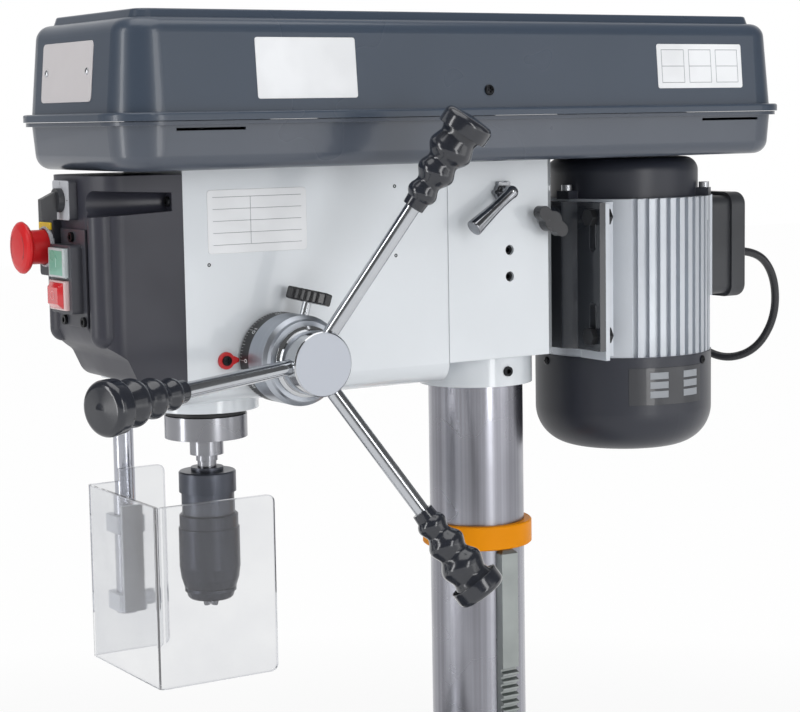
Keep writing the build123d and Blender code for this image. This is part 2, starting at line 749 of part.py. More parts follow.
def column_foot():
    """Cast flange with a sleeve that holds the column."""
    piece = turned([(COLUMN_R + RUN_FIT, 0), (FOOT_R, 0), (FOOT_R, FOOT_H - FOOT_EDGE),
                    (FOOT_R - FOOT_EDGE, FOOT_H),
                    (FOOT_SLEEVE_R, FOOT_H), (FOOT_SLEEVE_R, FOOT_SLEEVE_H),
                    (COLUMN_R + RUN_FIT, FOOT_SLEEVE_H)],
                   Plane((0, COLUMN_Y, BASE_H)))
    holes = [upright(x, y, BASE_H, FOOT_TOP, FOOT_BOLT_R + SCREW_FIT) for x, y in foot_bolt_places()]
    return cut(piece, *holes)


def column():
    """Ground steel tube."""
    return turned([(COLUMN_R - COLUMN_WALL, 0), (COLUMN_R, 0), (COLUMN_R, COLUMN_TOP - BASE_H),
                   (COLUMN_R - COLUMN_WALL, COLUMN_TOP - BASE_H)], Plane((0, COLUMN_Y, BASE_H)))


def rack_ring():
    """Plastic ring pinned to the column over the rack's upper end."""
    low = COLUMN_R + RUN_FIT
    return turned([(low, 0), (RING_BAND_R - 1, 0), (RING_BAND_R, 1), (RING_BAND_R, RING_BAND_H - 1),
                   (RING_BAND_R - 1, RING_BAND_H), (low, RING_BAND_H)], Plane((0, COLUMN_Y, RING_BAND_LOW)))


def rack():
    """Toothed bar that stands along the column between the foot and the ring."""
    low = FOOT_TOP + FREE_GAP
    high = RING_BAND_LOW - FREE_GAP
    inner = COLUMN_R - RACK_T / 2
    bar = box(inner, COLUMN_R + FREE_GAP + RACK_T, COLUMN_Y - RACK_W / 2, COLUMN_Y + RACK_W / 2, low, high)
    bar = chamfer([e for e in flat_edges(bar, high) if e.center().X > inner + TOUCH], RACK_BEVEL).solid()
    bar = cut(bar, upright(0, COLUMN_Y, low, high, COLUMN_R + FREE_GAP))
    (root, narrow), (top, wide) = rack_gap(LIFT_MODULE)
    for z in rack_places(LIFT_Z, RACK_TEETH_LOW, RACK_TEETH_TOP, LIFT_MODULE):
        outline = [(RACK_PITCH_X + root, z - narrow), (RACK_PITCH_X + top, z - wide),
                   (RACK_PITCH_X + top, z + wide), (RACK_PITCH_X + root, z + narrow)]
        bar = cut(bar, prism(outline, "y", COLUMN_Y - RACK_W, COLUMN_Y + RACK_W))
    return bar


def head_outside():
    """The casting's outer form: front part with a rounded belly, rear part, boss, collar and lugs."""
    crease = COLUMN_Y - HEAD_CREASE
    front = box(-HEAD_HALF_W, HEAD_HALF_W, HEAD_FRONT, crease, BELLY_LOW, HEAD_TOP)
    belly = [e for e in front.edges().filter_by(Axis.Y) if e.center().Z < HEAD_LOW]
    front = fillet(belly, HEAD_BELLY).solid()
    wide = HEAD_HALF_W + HEAD_STEP
    plan = [(-wide, crease), (wide, crease), (wide, HEAD_REAR - HEAD_CHAMFER),
            (wide - HEAD_CHAMFER, HEAD_REAR),
            (HEAD_CHAMFER - wide, HEAD_REAR), (-wide, HEAD_REAR - HEAD_CHAMFER)]
    rear = prism(plan, "z", HEAD_LOW, HEAD_TOP)
    boss = upright(0, 0, BOSS_LOW, HEAD_LOW, QUILL_BOSS_R) & box(-QUILL_BOSS_R, QUILL_BOSS_R, HEAD_FRONT,
                                                                   QUILL_BOSS_R, BOSS_LOW, HEAD_LOW)
    collar = upright(0, COLUMN_Y, BOSS_LOW, HEAD_LOW, COLLAR_R)
    lug = upright(GUARD_X, GUARD_Y, GUARD_LUG_LOW, GUARD_LUG_TOP, GUARD_LUG_R)
    web = box(GUARD_X, -HEAD_HALF_W, HEAD_FRONT + 1, GUARD_Y + GUARD_LUG_R, GUARD_LUG_LOW, GUARD_LUG_TOP)
    entry = box(-wide - ENTRY_OUT, -wide, ENTRY_Y - ENTRY_L, ENTRY_Y, ENTRY_Z, ENTRY_Z + ENTRY_H)
    return joined(front, rear, boss, collar, lug, web, entry)


def grub_places():
    return [(COLUMN_Y, HEAD_TOP - depth) for depth in GRUB_DEPTHS]


def head_casting():
    """White head casting: carries the quill, the feed, the motor slide and the belt pan."""
    wide = HEAD_HALF_W + HEAD_STEP
    inner = HEAD_HALF_W - HEAD_WALL
    pocket_y0 = FEED_Y + FEED_BORE_R + HEAD_WALL
    pocket_y1 = COLUMN_Y - COLUMN_R - HEAD_WALL - POCKET_REACH
    pocket_low = BELLY_LOW + HEAD_FLOOR + HEAD_BELLY
    rib = (pocket_y0 + pocket_y1) / 2
    pockets = [box(-inner, inner, pocket_y0, rib - HEAD_WALL / 2, pocket_low, HEAD_TOP),
               box(-inner, inner, rib + HEAD_WALL / 2, pocket_y1, pocket_low, HEAD_TOP)]
    boss_low = HEAD_TOP - IDLER_BOSS_H
    boss = upright(0, IDLER_PIVOT_Y, boss_low, HEAD_TOP, IDLER_ARM_R)
    web = box(-inner, inner, IDLER_PIVOT_Y - IDLER_WEB_T / 2, IDLER_PIVOT_Y + IDLER_WEB_T / 2, boss_low,
              HEAD_TOP)
    piece = joined(cut(head_outside(), *pockets), boss, web)
    holes = [
        upright(0, 0, BOSS_LOW, BEARING_SEAT_LOW, QUILL_R + RUN_FIT),
        upright(0, 0, BEARING_SEAT_LOW, HEAD_TOP, BEARING_R),
        upright(0, COLUMN_Y, BOSS_LOW, COLUMN_TOP, COLUMN_R + RUN_FIT),
        rod((-PINION_HALF_W - PINION_SIDE_GAP, FEED_Y, FEED_Z), (HEAD_HALF_W, FEED_Y, FEED_Z), FEED_BORE_R),
        rod((-wide, FEED_Y, FEED_Z), (0, FEED_Y, FEED_Z), FEED_SHAFT_R + RUN_FIT),
        upright(GUARD_X, GUARD_Y, GUARD_LUG_LOW, GUARD_LUG_TOP, GUARD_ROD_R + RUN_FIT),
        rod((0, LEVER_Y, LEVER_Z), (wide, LEVER_Y, LEVER_Z), LEVER_SHAFT_R + RUN_FIT),
        rod((SLIDE_X, LOCK_KNOB_Y, SLIDE_Z), (wide, LOCK_KNOB_Y, SLIDE_Z), LOCK_STUD_R + RUN_FIT),
        rod((HEAD_HALF_W - POINTER_SCREW_L - SCREW_TIP, POINTER_Y, FEED_Z), (HEAD_HALF_W, POINTER_Y, FEED_Z),
            POINTER_SCREW_R + SCREW_FIT),
        upright(0, IDLER_PIVOT_Y, HEAD_TOP - IDLER_PIN_L - SCREW_TIP, HEAD_TOP, IDLER_POST_R + SCREW_FIT),
    ]
    pinion_r = LEVER_PITCH_R + GEAR_ADDENDUM * LEVER_MODULE + LEVER_POCKET_GAP
    pinion_half = LEVER_PINION_HALF + LEVER_POCKET_GAP
    holes.append(box(SLIDE_X - pinion_half, SLIDE_X + pinion_half, LEVER_Y - pinion_r, LEVER_Y + pinion_r,
                     SLIDE_Z + LEVER_POCKET_GAP, HEAD_TOP))
    for sx in (-1, 1):
        holes.append(rod((sx * SLIDE_X, SLIDE_TIP_Y - MOTOR_TRAVEL - SLIDE_BOTTOM, SLIDE_Z),
                         (sx * SLIDE_X, HEAD_REAR, SLIDE_Z), SLIDE_R + RUN_FIT))
        x, z = box_screw_place(sx)
        holes.append(rod((x, HEAD_FRONT, z), (x, HEAD_FRONT + BOX_SCREW_L + SCREW_TIP, z),
                         PLATE_SCREW_R + SCREW_FIT))
    for y, z in grub_places():
        holes.append(rod((COLUMN_R - 1, y, z), (wide, y, z), GRUB_R + SCREW_FIT))
    for x, y in PAN_BOLTS:
        holes.append(upright(x, y, HEAD_TOP - PAN_BOLT_L, HEAD_TOP, PAN_BOLT_R + SCREW_FIT))
    return cut(piece, *holes)


def grub(y, z):
    """Socket set screw in the head's side, bearing on the column."""
    end = COLUMN_R + GRUB_L
    screw = rod((COLUMN_R, y, z), (end, y, z), GRUB_R)
    return cut(screw, rod((end - GRUB_SOCKET, y, z), (end, y, z), GRUB_R / 2))


def box_screw_place(side):
    """x and z of a screw that holds the control box to the head, in the box's side pocket."""
    return side * (HEAD_HALF_W - POCKET_REAR[0] / 2), POCKET_Z


def socket_screws():
    """Set screws, control plate screws, control box screws and the pointer's screw."""
    screws = [grub(y, z) for y, z in grub_places()]
    for x, dz in PLATE_SCREWS:
        plane = front_plane(x, BOX_FRONT - PLATE_T, PLATE_TOP + dz)
        screws.append(cap_screw(plane, PLATE_SCREW_R, PLATE_T + BOX_WALL, PLATE_SCREW_HEAD_R,
                                PLATE_SCREW_HEAD_H))
    for side in (-1, 1):
        x, z = box_screw_place(side)
        plane = front_plane(x, POCKET_Y1, z)
        length = HEAD_FRONT - POCKET_Y1 + BOX_SCREW_L
        screws.append(cap_screw(plane, PLATE_SCREW_R, length, PLATE_SCREW_HEAD_R, PLATE_SCREW_HEAD_H))
    plane = side_plane(HEAD_HALF_W + POINTER_T, POINTER_Y, FEED_Z)
    screws.append(cap_screw(plane, POINTER_SCREW_R, POINTER_T + POINTER_SCREW_L, POINTER_SCREW_R * 1.5,
                            POINTER_SCREW_HEAD_H))
    return screws


def bolts_and_pins():
    """Hexagon bolts of the column foot and of the belt pan, and the lid's hinge pins."""
    pieces = []
    for x, y in foot_bolt_places():
        plane = Plane((x, y, BASE_H + FOOT_H))
        pieces.append(hex_bolt(plane, FOOT_BOLT_R, FOOT_H + BASE_SKIN, FOOT_BOLT_HEAD_R, FOOT_BOLT_HEAD_H))
    for x, y in PAN_BOLTS:
        plane = Plane((x, y, HEAD_TOP + COVER_WALL))
        pieces.append(hex_bolt(plane, PAN_BOLT_R, PAN_BOLT_L, PAN_BOLT_HEAD_R, PAN_BOLT_HEAD_H))
    for y in HINGE_YS:
        pieces.append(rod((HINGE_X, y - HINGE_LEN / 2, PAN_TOP), (HINGE_X, y + HINGE_LEN / 2, PAN_TOP),
                          HINGE_PIN_R))
    return pieces


def cover_block(inset, height, z, taper):
    """A solid of the cover's plan, drawn in by an inset."""
    return rounded_block(2 * (COVER_HALF_W - inset), COVER_L - 2 * inset, COVER_CORNER - inset, height,
                         (0, COVER_MID, z), taper)


def hinge_knuckle(y0, y1, reach_x, drop, bore_r):
    """A hinge knuckle about the pin with a leaf that reaches to the cover's wall."""
    eye = rod((HINGE_X, y0, PAN_TOP), (HINGE_X, y1, PAN_TOP), HINGE_R)
    leaf = box(HINGE_X, reach_x, y0, y1, PAN_TOP + min(drop, 0), PAN_TOP + max(drop, 0))
    bore = rod((HINGE_X, y0, PAN_TOP), (HINGE_X, y1, PAN_TOP), bore_r)
    return cut(joined(eye, leaf), bore)


def belt_pan():
    """Lower half of the belt cover: a drawn tray with a rolled rim, bolted to the head's top."""
    outer = cover_block(PAN_DRAW, PAN_H, HEAD_TOP, -COVER_DRAFT)
    outer = fillet(flat_edges(outer, HEAD_TOP), PAN_ROUND).solid()
    inner = cover_block(PAN_DRAW + COVER_WALL, PAN_H, HEAD_TOP + COVER_WALL, -COVER_DRAFT)
    inner = fillet(flat_edges(inner, HEAD_TOP + COVER_WALL), PAN_ROUND - COVER_WALL).solid()
    low = PAN_TOP - PAN_RIM_H
    rim = cut(cover_block(-PAN_RIM_OUT, PAN_RIM_H, low, 0), cover_block(COVER_WALL, PAN_RIM_H, low, 0))
    piece = joined(cut(outer, inner), rim)
    for y in HINGE_YS:
        half = HINGE_LEN / 2
        for y0, y1 in ((y - half, y - half + HINGE_EYE), (y + half - HINGE_EYE, y + half)):
            piece = joined(piece, hinge_knuckle(y0, y1, -COVER_HALF_W - 1, -PAN_RIM_H, HINGE_PIN_R))
    for y0, y1 in SLOT_SPANS:
        z = low - SLOT_DROP
        piece = cut(piece, box(COVER_HALF_W - 12, COVER_HALF_W + 2, y0, y1, z, z + SLOT_H))
    slot_w = 2 * (SHAFT_R + PAN_SLOT_GAP)
    slot = Pos(0, MOTOR_Y - MOTOR_TRAVEL / 2, HEAD_TOP) * SlotOverall(MOTOR_TRAVEL + slot_w, slot_w,
                                                                      rotation=90)
    floor = HEAD_TOP + COVER_WALL
    holes = [upright(0, 0, HEAD_TOP, floor, SLEEVE_TUBE_R + PAN_HOLE_GAP),
             upright(0, IDLER_PIVOT_Y, HEAD_TOP, floor, IDLER_POST_R + SCREW_FIT),
             extrude(slot, COVER_WALL).solid()]
    holes += [upright(x, y, HEAD_TOP, floor, PAN_BOLT_R + SCREW_FIT) for x, y in PAN_BOLTS]
    return cut(piece, *holes)


def belt_lid():
    """Upper half of the belt cover, hinged along its left side, with a raised top panel."""
    lip = cover_block(-LID_LIP_OUT, LID_LIP_H, LID_LOW, 0)
    lip = fillet(flat_edges(lip, LID_LOW + LID_LIP_H), COVER_WALL).solid()
    shoulder = LID_LOW + LID_H
    wall = cover_block(0, LID_H, LID_LOW, COVER_DRAFT)
    wall = fillet(flat_edges(wall, shoulder), LID_ROUND).solid()
    inset = LID_H * math.tan(math.radians(COVER_DRAFT)) + LID_RAISE_INSET
    panel = cover_block(inset, LID_RAISE, shoulder, LID_RAISE_DRAFT)
    panel = fillet(flat_edges(panel, shoulder + LID_RAISE), COVER_WALL).solid()
    inner = cover_block(COVER_WALL, LID_H - COVER_WALL, LID_LOW, COVER_DRAFT)
    inner = fillet(flat_edges(inner, shoulder - COVER_WALL), LID_ROUND - COVER_WALL).solid()
    inner_panel = cover_block(inset + COVER_WALL, LID_RAISE, shoulder - COVER_WALL, LID_RAISE_DRAFT)
    piece = cut(joined(lip, wall, panel), inner, inner_panel)
    eye = HINGE_LEN / 2 - HINGE_EYE - 2 * FREE_GAP
    for y in HINGE_YS:
        piece = cut(piece,
                    box(HINGE_X - HINGE_R, -COVER_HALF_W - LID_NOTCH_GAP, y - HINGE_LEN / 2 - LID_NOTCH_GAP,
                               y + HINGE_LEN / 2 + LID_NOTCH_GAP, LID_LOW - FREE_GAP, LID_LOW + LID_LIP_H))
        piece = joined(piece, hinge_knuckle(y - eye, y + eye, -COVER_HALF_W + COVER_WALL / 4, HINGE_R - 1,
                                            HINGE_PIN_R + RUN_FIT))
    return piece


def stepped_pulley(rising, low, bore, tube_r=0, tube_low=0):
    """Four-step V-belt pulley, its steps growing or shrinking upwards, with an optional sleeve below."""
    radii = STEP_RADII if rising else tuple(reversed(STEP_RADII))
    narrow = GROOVE_HALF - (RIM_OVER + GROOVE_UNDER) * math.tan(V_ANGLE)
    points = [(bore, low)]
    for k, r in enumerate(radii):
        z = low + k * STEP_H
        middle = z + STEP_H / 2
        points += [(r + RIM_OVER, z), (r + RIM_OVER, middle - GROOVE_HALF),
                   (r - GROOVE_UNDER, middle - narrow),
                   (r - GROOVE_UNDER, middle + narrow), (r + RIM_OVER, middle + GROOVE_HALF),
                   (r + RIM_OVER, z + STEP_H)]
    points.append((bore, low + len(radii) * STEP_H))
    piece = turned(points)
    if tube_r:
        piece = joined(piece, turned([(bore, tube_low), (tube_r, tube_low), (tube_r, low), (bore, low)]))
    return piece


def step_radius(rising, step):
    radii = STEP_RADII if rising else tuple(reversed(STEP_RADII))
    return radii[step]


def belt_loop(y0, r0, y1, r1, z):
    """The closed line of a belt round two pulleys on the line x = 0, at one height."""
    lean = math.asin((r0 - r1) / (y1 - y0))
    corners = []
    for y, r in ((y0, r0), (y1, r1)):
        corners.append((r * math.cos(lean), y + r * math.sin(lean)))
    (xa, ya), (xb, yb) = corners
    edges = [Edge.make_line((xa, ya, z), (xb, yb, z)),
             Edge.make_three_point_arc((xb, yb, z), (0, y1 + r1, z), (-xb, yb, z)),
             Edge.make_line((-xb, yb, z), (-xa, ya, z)),
             Edge.make_three_point_arc((-xa, ya, z), (0, y0 - r0, z), (xa, ya, z))]
    return Wire(edges)


def v_belt(y0, r0, y1, r1, step):
    """A V-belt of trapezoid section between two pulleys."""
    z = PULLEY_LOW + (step + 0.5) * STEP_H
    narrow = BELT_HALF - 2 * BELT_OVER * math.tan(V_ANGLE)
    outer = Solid.extrude(Face(belt_loop(y0, r0 + BELT_OVER, y1, r1 + BELT_OVER, z - BELT_HALF)),
                          Vector(0, 0, 2 * BELT_HALF))
    inner = Solid.extrude(Face(belt_loop(y0, r0 - BELT_OVER, y1, r1 - BELT_OVER, z - BELT_HALF)),
                          Vector(0, 0, 2 * BELT_HALF))
    belt = cut(outer, inner)
    for side in (-1, 1):
        small = belt_loop(y0, r0 - BELT_OVER, y1, r1 - BELT_OVER, z + side * narrow)
        large = belt_loop(y0, r0 + BELT_OVER - 0.8, y1, r1 + BELT_OVER - 0.8, z + side * BELT_HALF)
        belt = cut(belt, Solid.make_loft([small, large], ruled=True))
    return belt


def ring_bearing(y, z, outer, inner, height):
    """A closed ball bearing, drawn as its two rings and cage in one."""
    return turned([(inner, 0), (outer, 0), (outer, height), (inner, height)], Plane((0, y, z)))


def pulley_bearings():
    inner = SLEEVE_TUBE_R + RUN_FIT
    lows = (BEARING_SEAT_LOW, HEAD_TOP - BEARING_H)
    return [ring_bearing(0, z, BEARING_R, inner, BEARING_H) for z in lows]


def idler_arm():
    """Flat arm on the pan's floor with a pivot pin down into the head and a post for the idler."""
    z = HEAD_TOP + COVER_WALL
    top = PULLEY_LOW + 4 * STEP_H + 3
    plate = joined(upright(0, IDLER_PIVOT_Y, z, z + IDLER_ARM_T, IDLER_ARM_R),
                   upright(0, IDLER_Y, z, z + IDLER_ARM_T, IDLER_ARM_R),
                   box(-IDLER_ARM_R, IDLER_ARM_R, IDLER_PIVOT_Y, IDLER_Y, z, z + IDLER_ARM_T))
    return joined(plate, upright(0, IDLER_PIVOT_Y, HEAD_TOP - IDLER_PIN_L, z, IDLER_POST_R),
                  upright(0, IDLER_Y, z, top, IDLER_POST_R))


def quill():
    """Hollow quill with a bearing collar below and rack teeth down its back."""
    tube = turned([(0, QUILL_LOW), (QUILL_COLLAR_R, QUILL_LOW), (QUILL_COLLAR_R, QUILL_COLLAR_TOP),
                   (QUILL_R, QUILL_COLLAR_TOP), (QUILL_R, QUILL_TOP), (0, QUILL_TOP)])
    bores = [upright(0, 0, QUILL_LOW, QUILL_TOP, QUILL_BORE_R),
             upright(0, 0, QUILL_LOW, QUILL_LOW + QUILL_BEARING_H + 2, QUILL_BEARING_R),
             upright(0, 0, QUILL_TOP - QUILL_BEARING_H - 2, QUILL_TOP, QUILL_BEARING_R)]
    pitch_y = FEED_Y - FEED_PITCH_R
    tip_y = pitch_y + RACK_ADDENDUM * FEED_MODULE
    low = FEED_Z - 2 * math.pi * FEED_MODULE
    flat = box(-QUILL_SLOT_HALF, QUILL_SLOT_HALF, tip_y, QUILL_R + 1, low, QUILL_TOP)
    (root, narrow), (top, wide) = rack_gap(FEED_MODULE)
    top += QUILL_R - tip_y
    wide += (QUILL_R - tip_y) * math.tan(TOOTH_ANGLE)
    gaps = []
    for z in rack_places(FEED_Z, low, QUILL_TOP - 1, FEED_MODULE):
        outline = [(pitch_y + root, z - narrow), (pitch_y + top, z - wide), (pitch_y + top, z + wide),
                   (pitch_y + root, z + narrow)]
        gaps.append(prism(outline, "x", -QUILL_SLOT_HALF, QUILL_SLOT_HALF))
    return cut(tube, *bores, flat, *gaps)


def quill_bearings():
    inner = SPINDLE_R + RUN_FIT
    return [ring_bearing(0, z, QUILL_BEARING_R, inner, QUILL_BEARING_H)
            for z in (QUILL_LOW + 2, QUILL_TOP - QUILL_BEARING_H - 2)]


def spindle():
    """Spindle with its nose and arbor below and its drive end above."""
    return turned([(0, ARBOR_LOW), (ARBOR_R, ARBOR_LOW), (ARBOR_R, STEP_LOW), (ARBOR_STEP_R, STEP_LOW),
                   (ARBOR_STEP_R, NOSE_LOW), (SPINDLE_NOSE_R, NOSE_LOW), (SPINDLE_NOSE_R, QUILL_LOW + 1),
                   (SPINDLE_R, QUILL_LOW + 1), (SPINDLE_R, SPLINE_LOW), (SPLINE_R, SPLINE_LOW),
                   (SPLINE_R, SPLINE_TOP), (0, SPLINE_TOP)])


def jaw_way(angle):
    """Direction in which a jaw opens, up and outwards."""
    lean = math.radians(JAW_ANGLE)
    return Vector(math.sin(lean) * math.cos(angle), math.sin(lean) * math.sin(angle), math.cos(lean))


def jaw_line(angle, start, length):
    """A point on a jaw's axis and the point a length further up it."""
    tip = Vector(JAW_TIP_R * math.cos(angle), JAW_TIP_R * math.sin(angle), JAW_LOW)
    first = tip + jaw_way(angle) * start
    return first, first + jaw_way(angle) * length


def chuck_body():
    """Chuck body: seal ring, collar, neck and the core that guides the jaws."""
    seal_top = CHUCK_TOP + SEAL_H
    body = turned([(0, COLLAR_LOW), (CHUCK_COLLAR_R, COLLAR_LOW), (CHUCK_COLLAR_R, CHUCK_TOP - CHUCK_EDGE),
                   (CHUCK_COLLAR_R - CHUCK_EDGE, CHUCK_TOP), (SEAL_R, CHUCK_TOP), (SEAL_R, seal_top),
                   (0, seal_top)])
    neck = turned([(0, NECK_LOW), (CHUCK_NECK_R, NECK_LOW), (CHUCK_NECK_R, COLLAR_LOW), (0, COLLAR_LOW)])
    core = upright(0, 0, CORE_LOW, NECK_LOW, CHUCK_CORE_R)
    holes = [rod(*jaw_line(a, -5, JAW_L + JAW_TRAVEL + 6), JAW_R + RUN_FIT) for a in JAW_ANGLES]
    taper_bore = upright(0, 0, ARBOR_LOW, seal_top, ARBOR_R + RUN_FIT)
    return cut(joined(body, neck, core), *holes, taper_bore)


def chuck_sleeve():
    """Gripping sleeve of the chuck, which turns on the core."""
    bore = CHUCK_CORE_R + RUN_FIT
    knee = SLEEVE_LOW + SLEEVE_TAPER_H
    band = knee + SLEEVE_MID_H
    shelf = SLEEVE_LOW + SLEEVE_MOUTH_H
    return turned([(SLEEVE_MOUTH_R, SLEEVE_LOW), (SLEEVE_END_R - 1.5, SLEEVE_LOW),
                   (SLEEVE_END_R, SLEEVE_LOW + 1.5),
                   (SLEEVE_R - 1.2, knee - 9), (SLEEVE_R, knee), (SLEEVE_R, band), (SLEEVE_TOP_R, band + 0.6),
                   (SLEEVE_TOP_R, SLEEVE_TOP - 1), (SLEEVE_TOP_R - 1, SLEEVE_TOP), (bore, SLEEVE_TOP),
                   (bore, shelf), (SLEEVE_MOUTH_R, shelf)])


def chuck_jaw(angle):
    """One of three jaws, trimmed to its third of the circle."""
    pin = rod(*jaw_line(angle, 0, JAW_L), JAW_R)
    reach = 2 * SLEEVE_R
    gap = FREE_GAP
    tip = (gap * math.cos(angle), gap * math.sin(angle))
    sides = [(tip[0] + reach * math.cos(angle + s), tip[1] + reach * math.sin(angle + s))
             for s in (-math.pi / 3, math.pi / 3)]
    middle = (reach * 2 * math.cos(angle), reach * 2 * math.sin(angle))
    third = prism([tip, sides[0], middle, sides[1]], "z", JAW_LOW - 5, NECK_LOW)
    return pin & third


def feed_axis(x):
    """Plane on the feed axis, facing +X, with its x direction towards the quill."""
    return Plane(origin=(x, FEED_Y, FEED_Z), x_dir=(0, -1, 0), z_dir=(1, 0, 0))


def feed_shaft():
    """Feed shaft with its pinion, from the spring cup through the head to the hub."""
    pinion = gear(FEED_MODULE, FEED_TEETH, 2 * PINION_HALF_W, feed_axis(-PINION_HALF_W))
    thin = rod((CUP_END + CUP_WALL + 2, FEED_Y, FEED_Z), (-PINION_HALF_W, FEED_Y, FEED_Z), FEED_SHAFT_R)
    waist_x = QUILL_R + QUILL_PASS
    waist = rod((PINION_HALF_W, FEED_Y, FEED_Z), (waist_x, FEED_Y, FEED_Z), FEED_SHAFT_R)
    journal = rod((waist_x, FEED_Y, FEED_Z), (HEAD_HALF_W, FEED_Y, FEED_Z), FEED_BORE_R - RUN_FIT)
    end = rod((HEAD_HALF_W, FEED_Y, FEED_Z), (HUB_X1 - HUB_END_T, FEED_Y, FEED_Z), FEED_END_R)
    return joined(pinion, thin, waist, journal, end)


def handle_angles():
    return [math.radians(angle) for angle in HANDLE_ANGLES]


def handle_point(place, angle):
    x, r = place
    return Vector(x, FEED_Y + r * math.cos(angle), FEED_Z + r * math.sin(angle))


def handle_axis(angle):
    """Plane at a handle's tip, facing back along the rod."""
    root = handle_point(HANDLE_ROOT, angle)
    tip = handle_point(HANDLE_TIP, angle)
    return Plane(origin=tip, z_dir=root - tip)


def handle_rod(angle, radius):
    root = handle_point(HANDLE_ROOT, angle)
    axis = handle_axis(angle)
    end = axis.origin + axis.z_dir * HANDLE_SINK
    return rod(root, end, radius)


def feed_hub():
    """Chromed hub: sleeve for the depth ring, flange and nose with three seats for the rods."""
    flange = RING_X1 + RING_LIP + FREE_GAP
    piece = turned([(0, HUB_X0), (HUB_SLEEVE_R, HUB_X0), (HUB_SLEEVE_R, flange), (HUB_FLANGE_R, flange),
                    (HUB_FLANGE_R, HUB_FLANGE_X1), (HUB_R, HUB_FLANGE_X1 + HUB_STEP),
                    (HUB_R, HUB_X1 - HUB_EDGE),
                    (HUB_R - HUB_EDGE, HUB_X1), (0, HUB_X1)], feed_axis(0))
    bore = rod((HUB_X0, FEED_Y, FEED_Z), (HUB_X1 - HUB_END_T, FEED_Y, FEED_Z), FEED_END_R + RUN_FIT)
    seats = [handle_rod(a, HANDLE_R + RUN_FIT) for a in handle_angles()]
    return cut(piece, bore, *seats)


def feed_rod(angle):
    """Chromed rod, seated on the bottom of its hole in the hub."""
    return handle_rod(angle, HANDLE_R)


def feed_grip(angle):
    """Plastic grip with three swellings and a flared end, pushed over the rod."""
    first = GRIP_PROFILE[0]
    flat = GRIP_END_R - GRIP_RIM
    wide = GRIP_L - GRIP_END_CROWN - GRIP_RIM
    turn = GRIP_RIM * math.sin(math.pi / 4)
    along = (0, 0, 1)
    rising = (1, 0, 1)
    collar = Line((GRIP_COLLAR_R, 0, 0), (first[1], 0, first[0]))
    body = Spline(*[(r, 0, s) for s, r in GRIP_PROFILE], (GRIP_END_R, 0, wide), tangents=(rising, along))
    rim = ThreePointArc((GRIP_END_R, 0, wide), (flat + turn, 0, wide + turn), (flat, 0, wide + GRIP_RIM))
    crown = Line((flat, 0, wide + GRIP_RIM), (0, 0, GRIP_L))
    axis = Line((0, 0, GRIP_L), (0, 0, 0))
    foot = Line((0, 0, 0), (GRIP_COLLAR_R, 0, 0))
    grip = revolve(make_face([collar, body, rim, crown, axis, foot]), Axis.Z).solid()
    tip = handle_axis(angle)
    base_point = tip.origin + tip.z_dir * GRIP_L
    plane = Plane(origin=base_point, z_dir=tip.z_dir * -1)
    return cut(plane.location * grip, handle_rod(angle, HANDLE_R + RUN_FIT))


def lock_axis(radius):
    """Plane on the lock screw's axis, facing outwards, its x direction along the machine's X."""
    angle = math.radians(LOCK_ANGLE)
    out = Vector(0, math.cos(angle), math.sin(angle))
    return Plane(origin=Vector(LOCK_X, FEED_Y, FEED_Z) + out * radius, x_dir=(1, 0, 0), z_dir=out)


def depth_ring():
    """Depth stop ring with its scale band, running on the hub's sleeve."""
    bore = HUB_SLEEVE_R + RUN_FIT
    piece = turned([(bore, RING_X0), (RING_R - 0.6, RING_X0), (RING_R, RING_X0 + 0.6),
                    (RING_R, RING_X1 - RING_LIP),
                    (RING_R - RING_LIP, RING_X1), (RING_R - RING_LIP - 1, RING_X1 + RING_LIP),
                    (bore, RING_X1 + RING_LIP)], feed_axis(0))
    hole = Solid.make_cylinder(LOCK_STEM_R + RUN_FIT, RING_R, lock_axis(HUB_SLEEVE_R - 2))
    return cut(piece, hole)


def depth_lock():
    """T-handled screw that locks the depth ring."""
    start = HUB_SLEEVE_R + 2 * FREE_GAP
    stem = Solid.make_cylinder(LOCK_STEM_R, LOCK_BAR_R + 1 - start, lock_axis(start))
    half_l = LOCK_BAR_L / 2
    half_w = LOCK_BAR_W / 2
    bar = box(-half_l, half_l, -half_w, half_w, 0, LOCK_BAR_H)
    bar = fillet(bar.edges(), LOCK_BAR_ROUND).solid()
    for k in range(LOCK_GROOVES):
        x = (k - (LOCK_GROOVES - 1) / 2) * LOCK_GROOVE_STEP
        bar = cut(bar, *[upright(x, side * half_w, 0, LOCK_BAR_H, LOCK_GROOVE_R) for side in (-1, 1)])
    return joined(stem, lock_axis(LOCK_BAR_R).location * Rot(0, 0, LOCK_BAR_TURN) * bar)


def depth_pointer():
    """Red drop-shaped pointer screwed to the head beside the ring."""
    tip_y = FEED_Y - RING_R - FREE_GAP
    head = Circle(POINTER_R)
    reach = tip_y - POINTER_Y
    waist = POINTER_R * POINTER_WAIST
    tail = make_face(Polyline((0, waist), (reach, POINTER_TIP_HALF), (reach, -POINTER_TIP_HALF), (0, -waist),
                              close=True))
    piece = extrude(head + tail - Circle(POINTER_SCREW_R + SCREW_FIT), POINTER_T)
    return side_plane(HEAD_HALF_W, POINTER_Y, FEED_Z).location * piece


def spring_cup():
    """Cup on the head's left side that holds the return spring."""
    depth = CUP_L
    piece = turned([(CUP_R - CUP_WALL, 0), (CUP_R, 0), (CUP_R, depth - 2), (CUP_R - 2, depth), (0, depth),
                    (0, depth - CUP_WALL), (CUP_R - CUP_WALL, depth - CUP_WALL)],
                   Plane(origin=(-HEAD_HALF_W, FEED_Y, FEED_Z), x_dir=(0, 1, 0), z_dir=(-1, 0, 0)))
    return piece


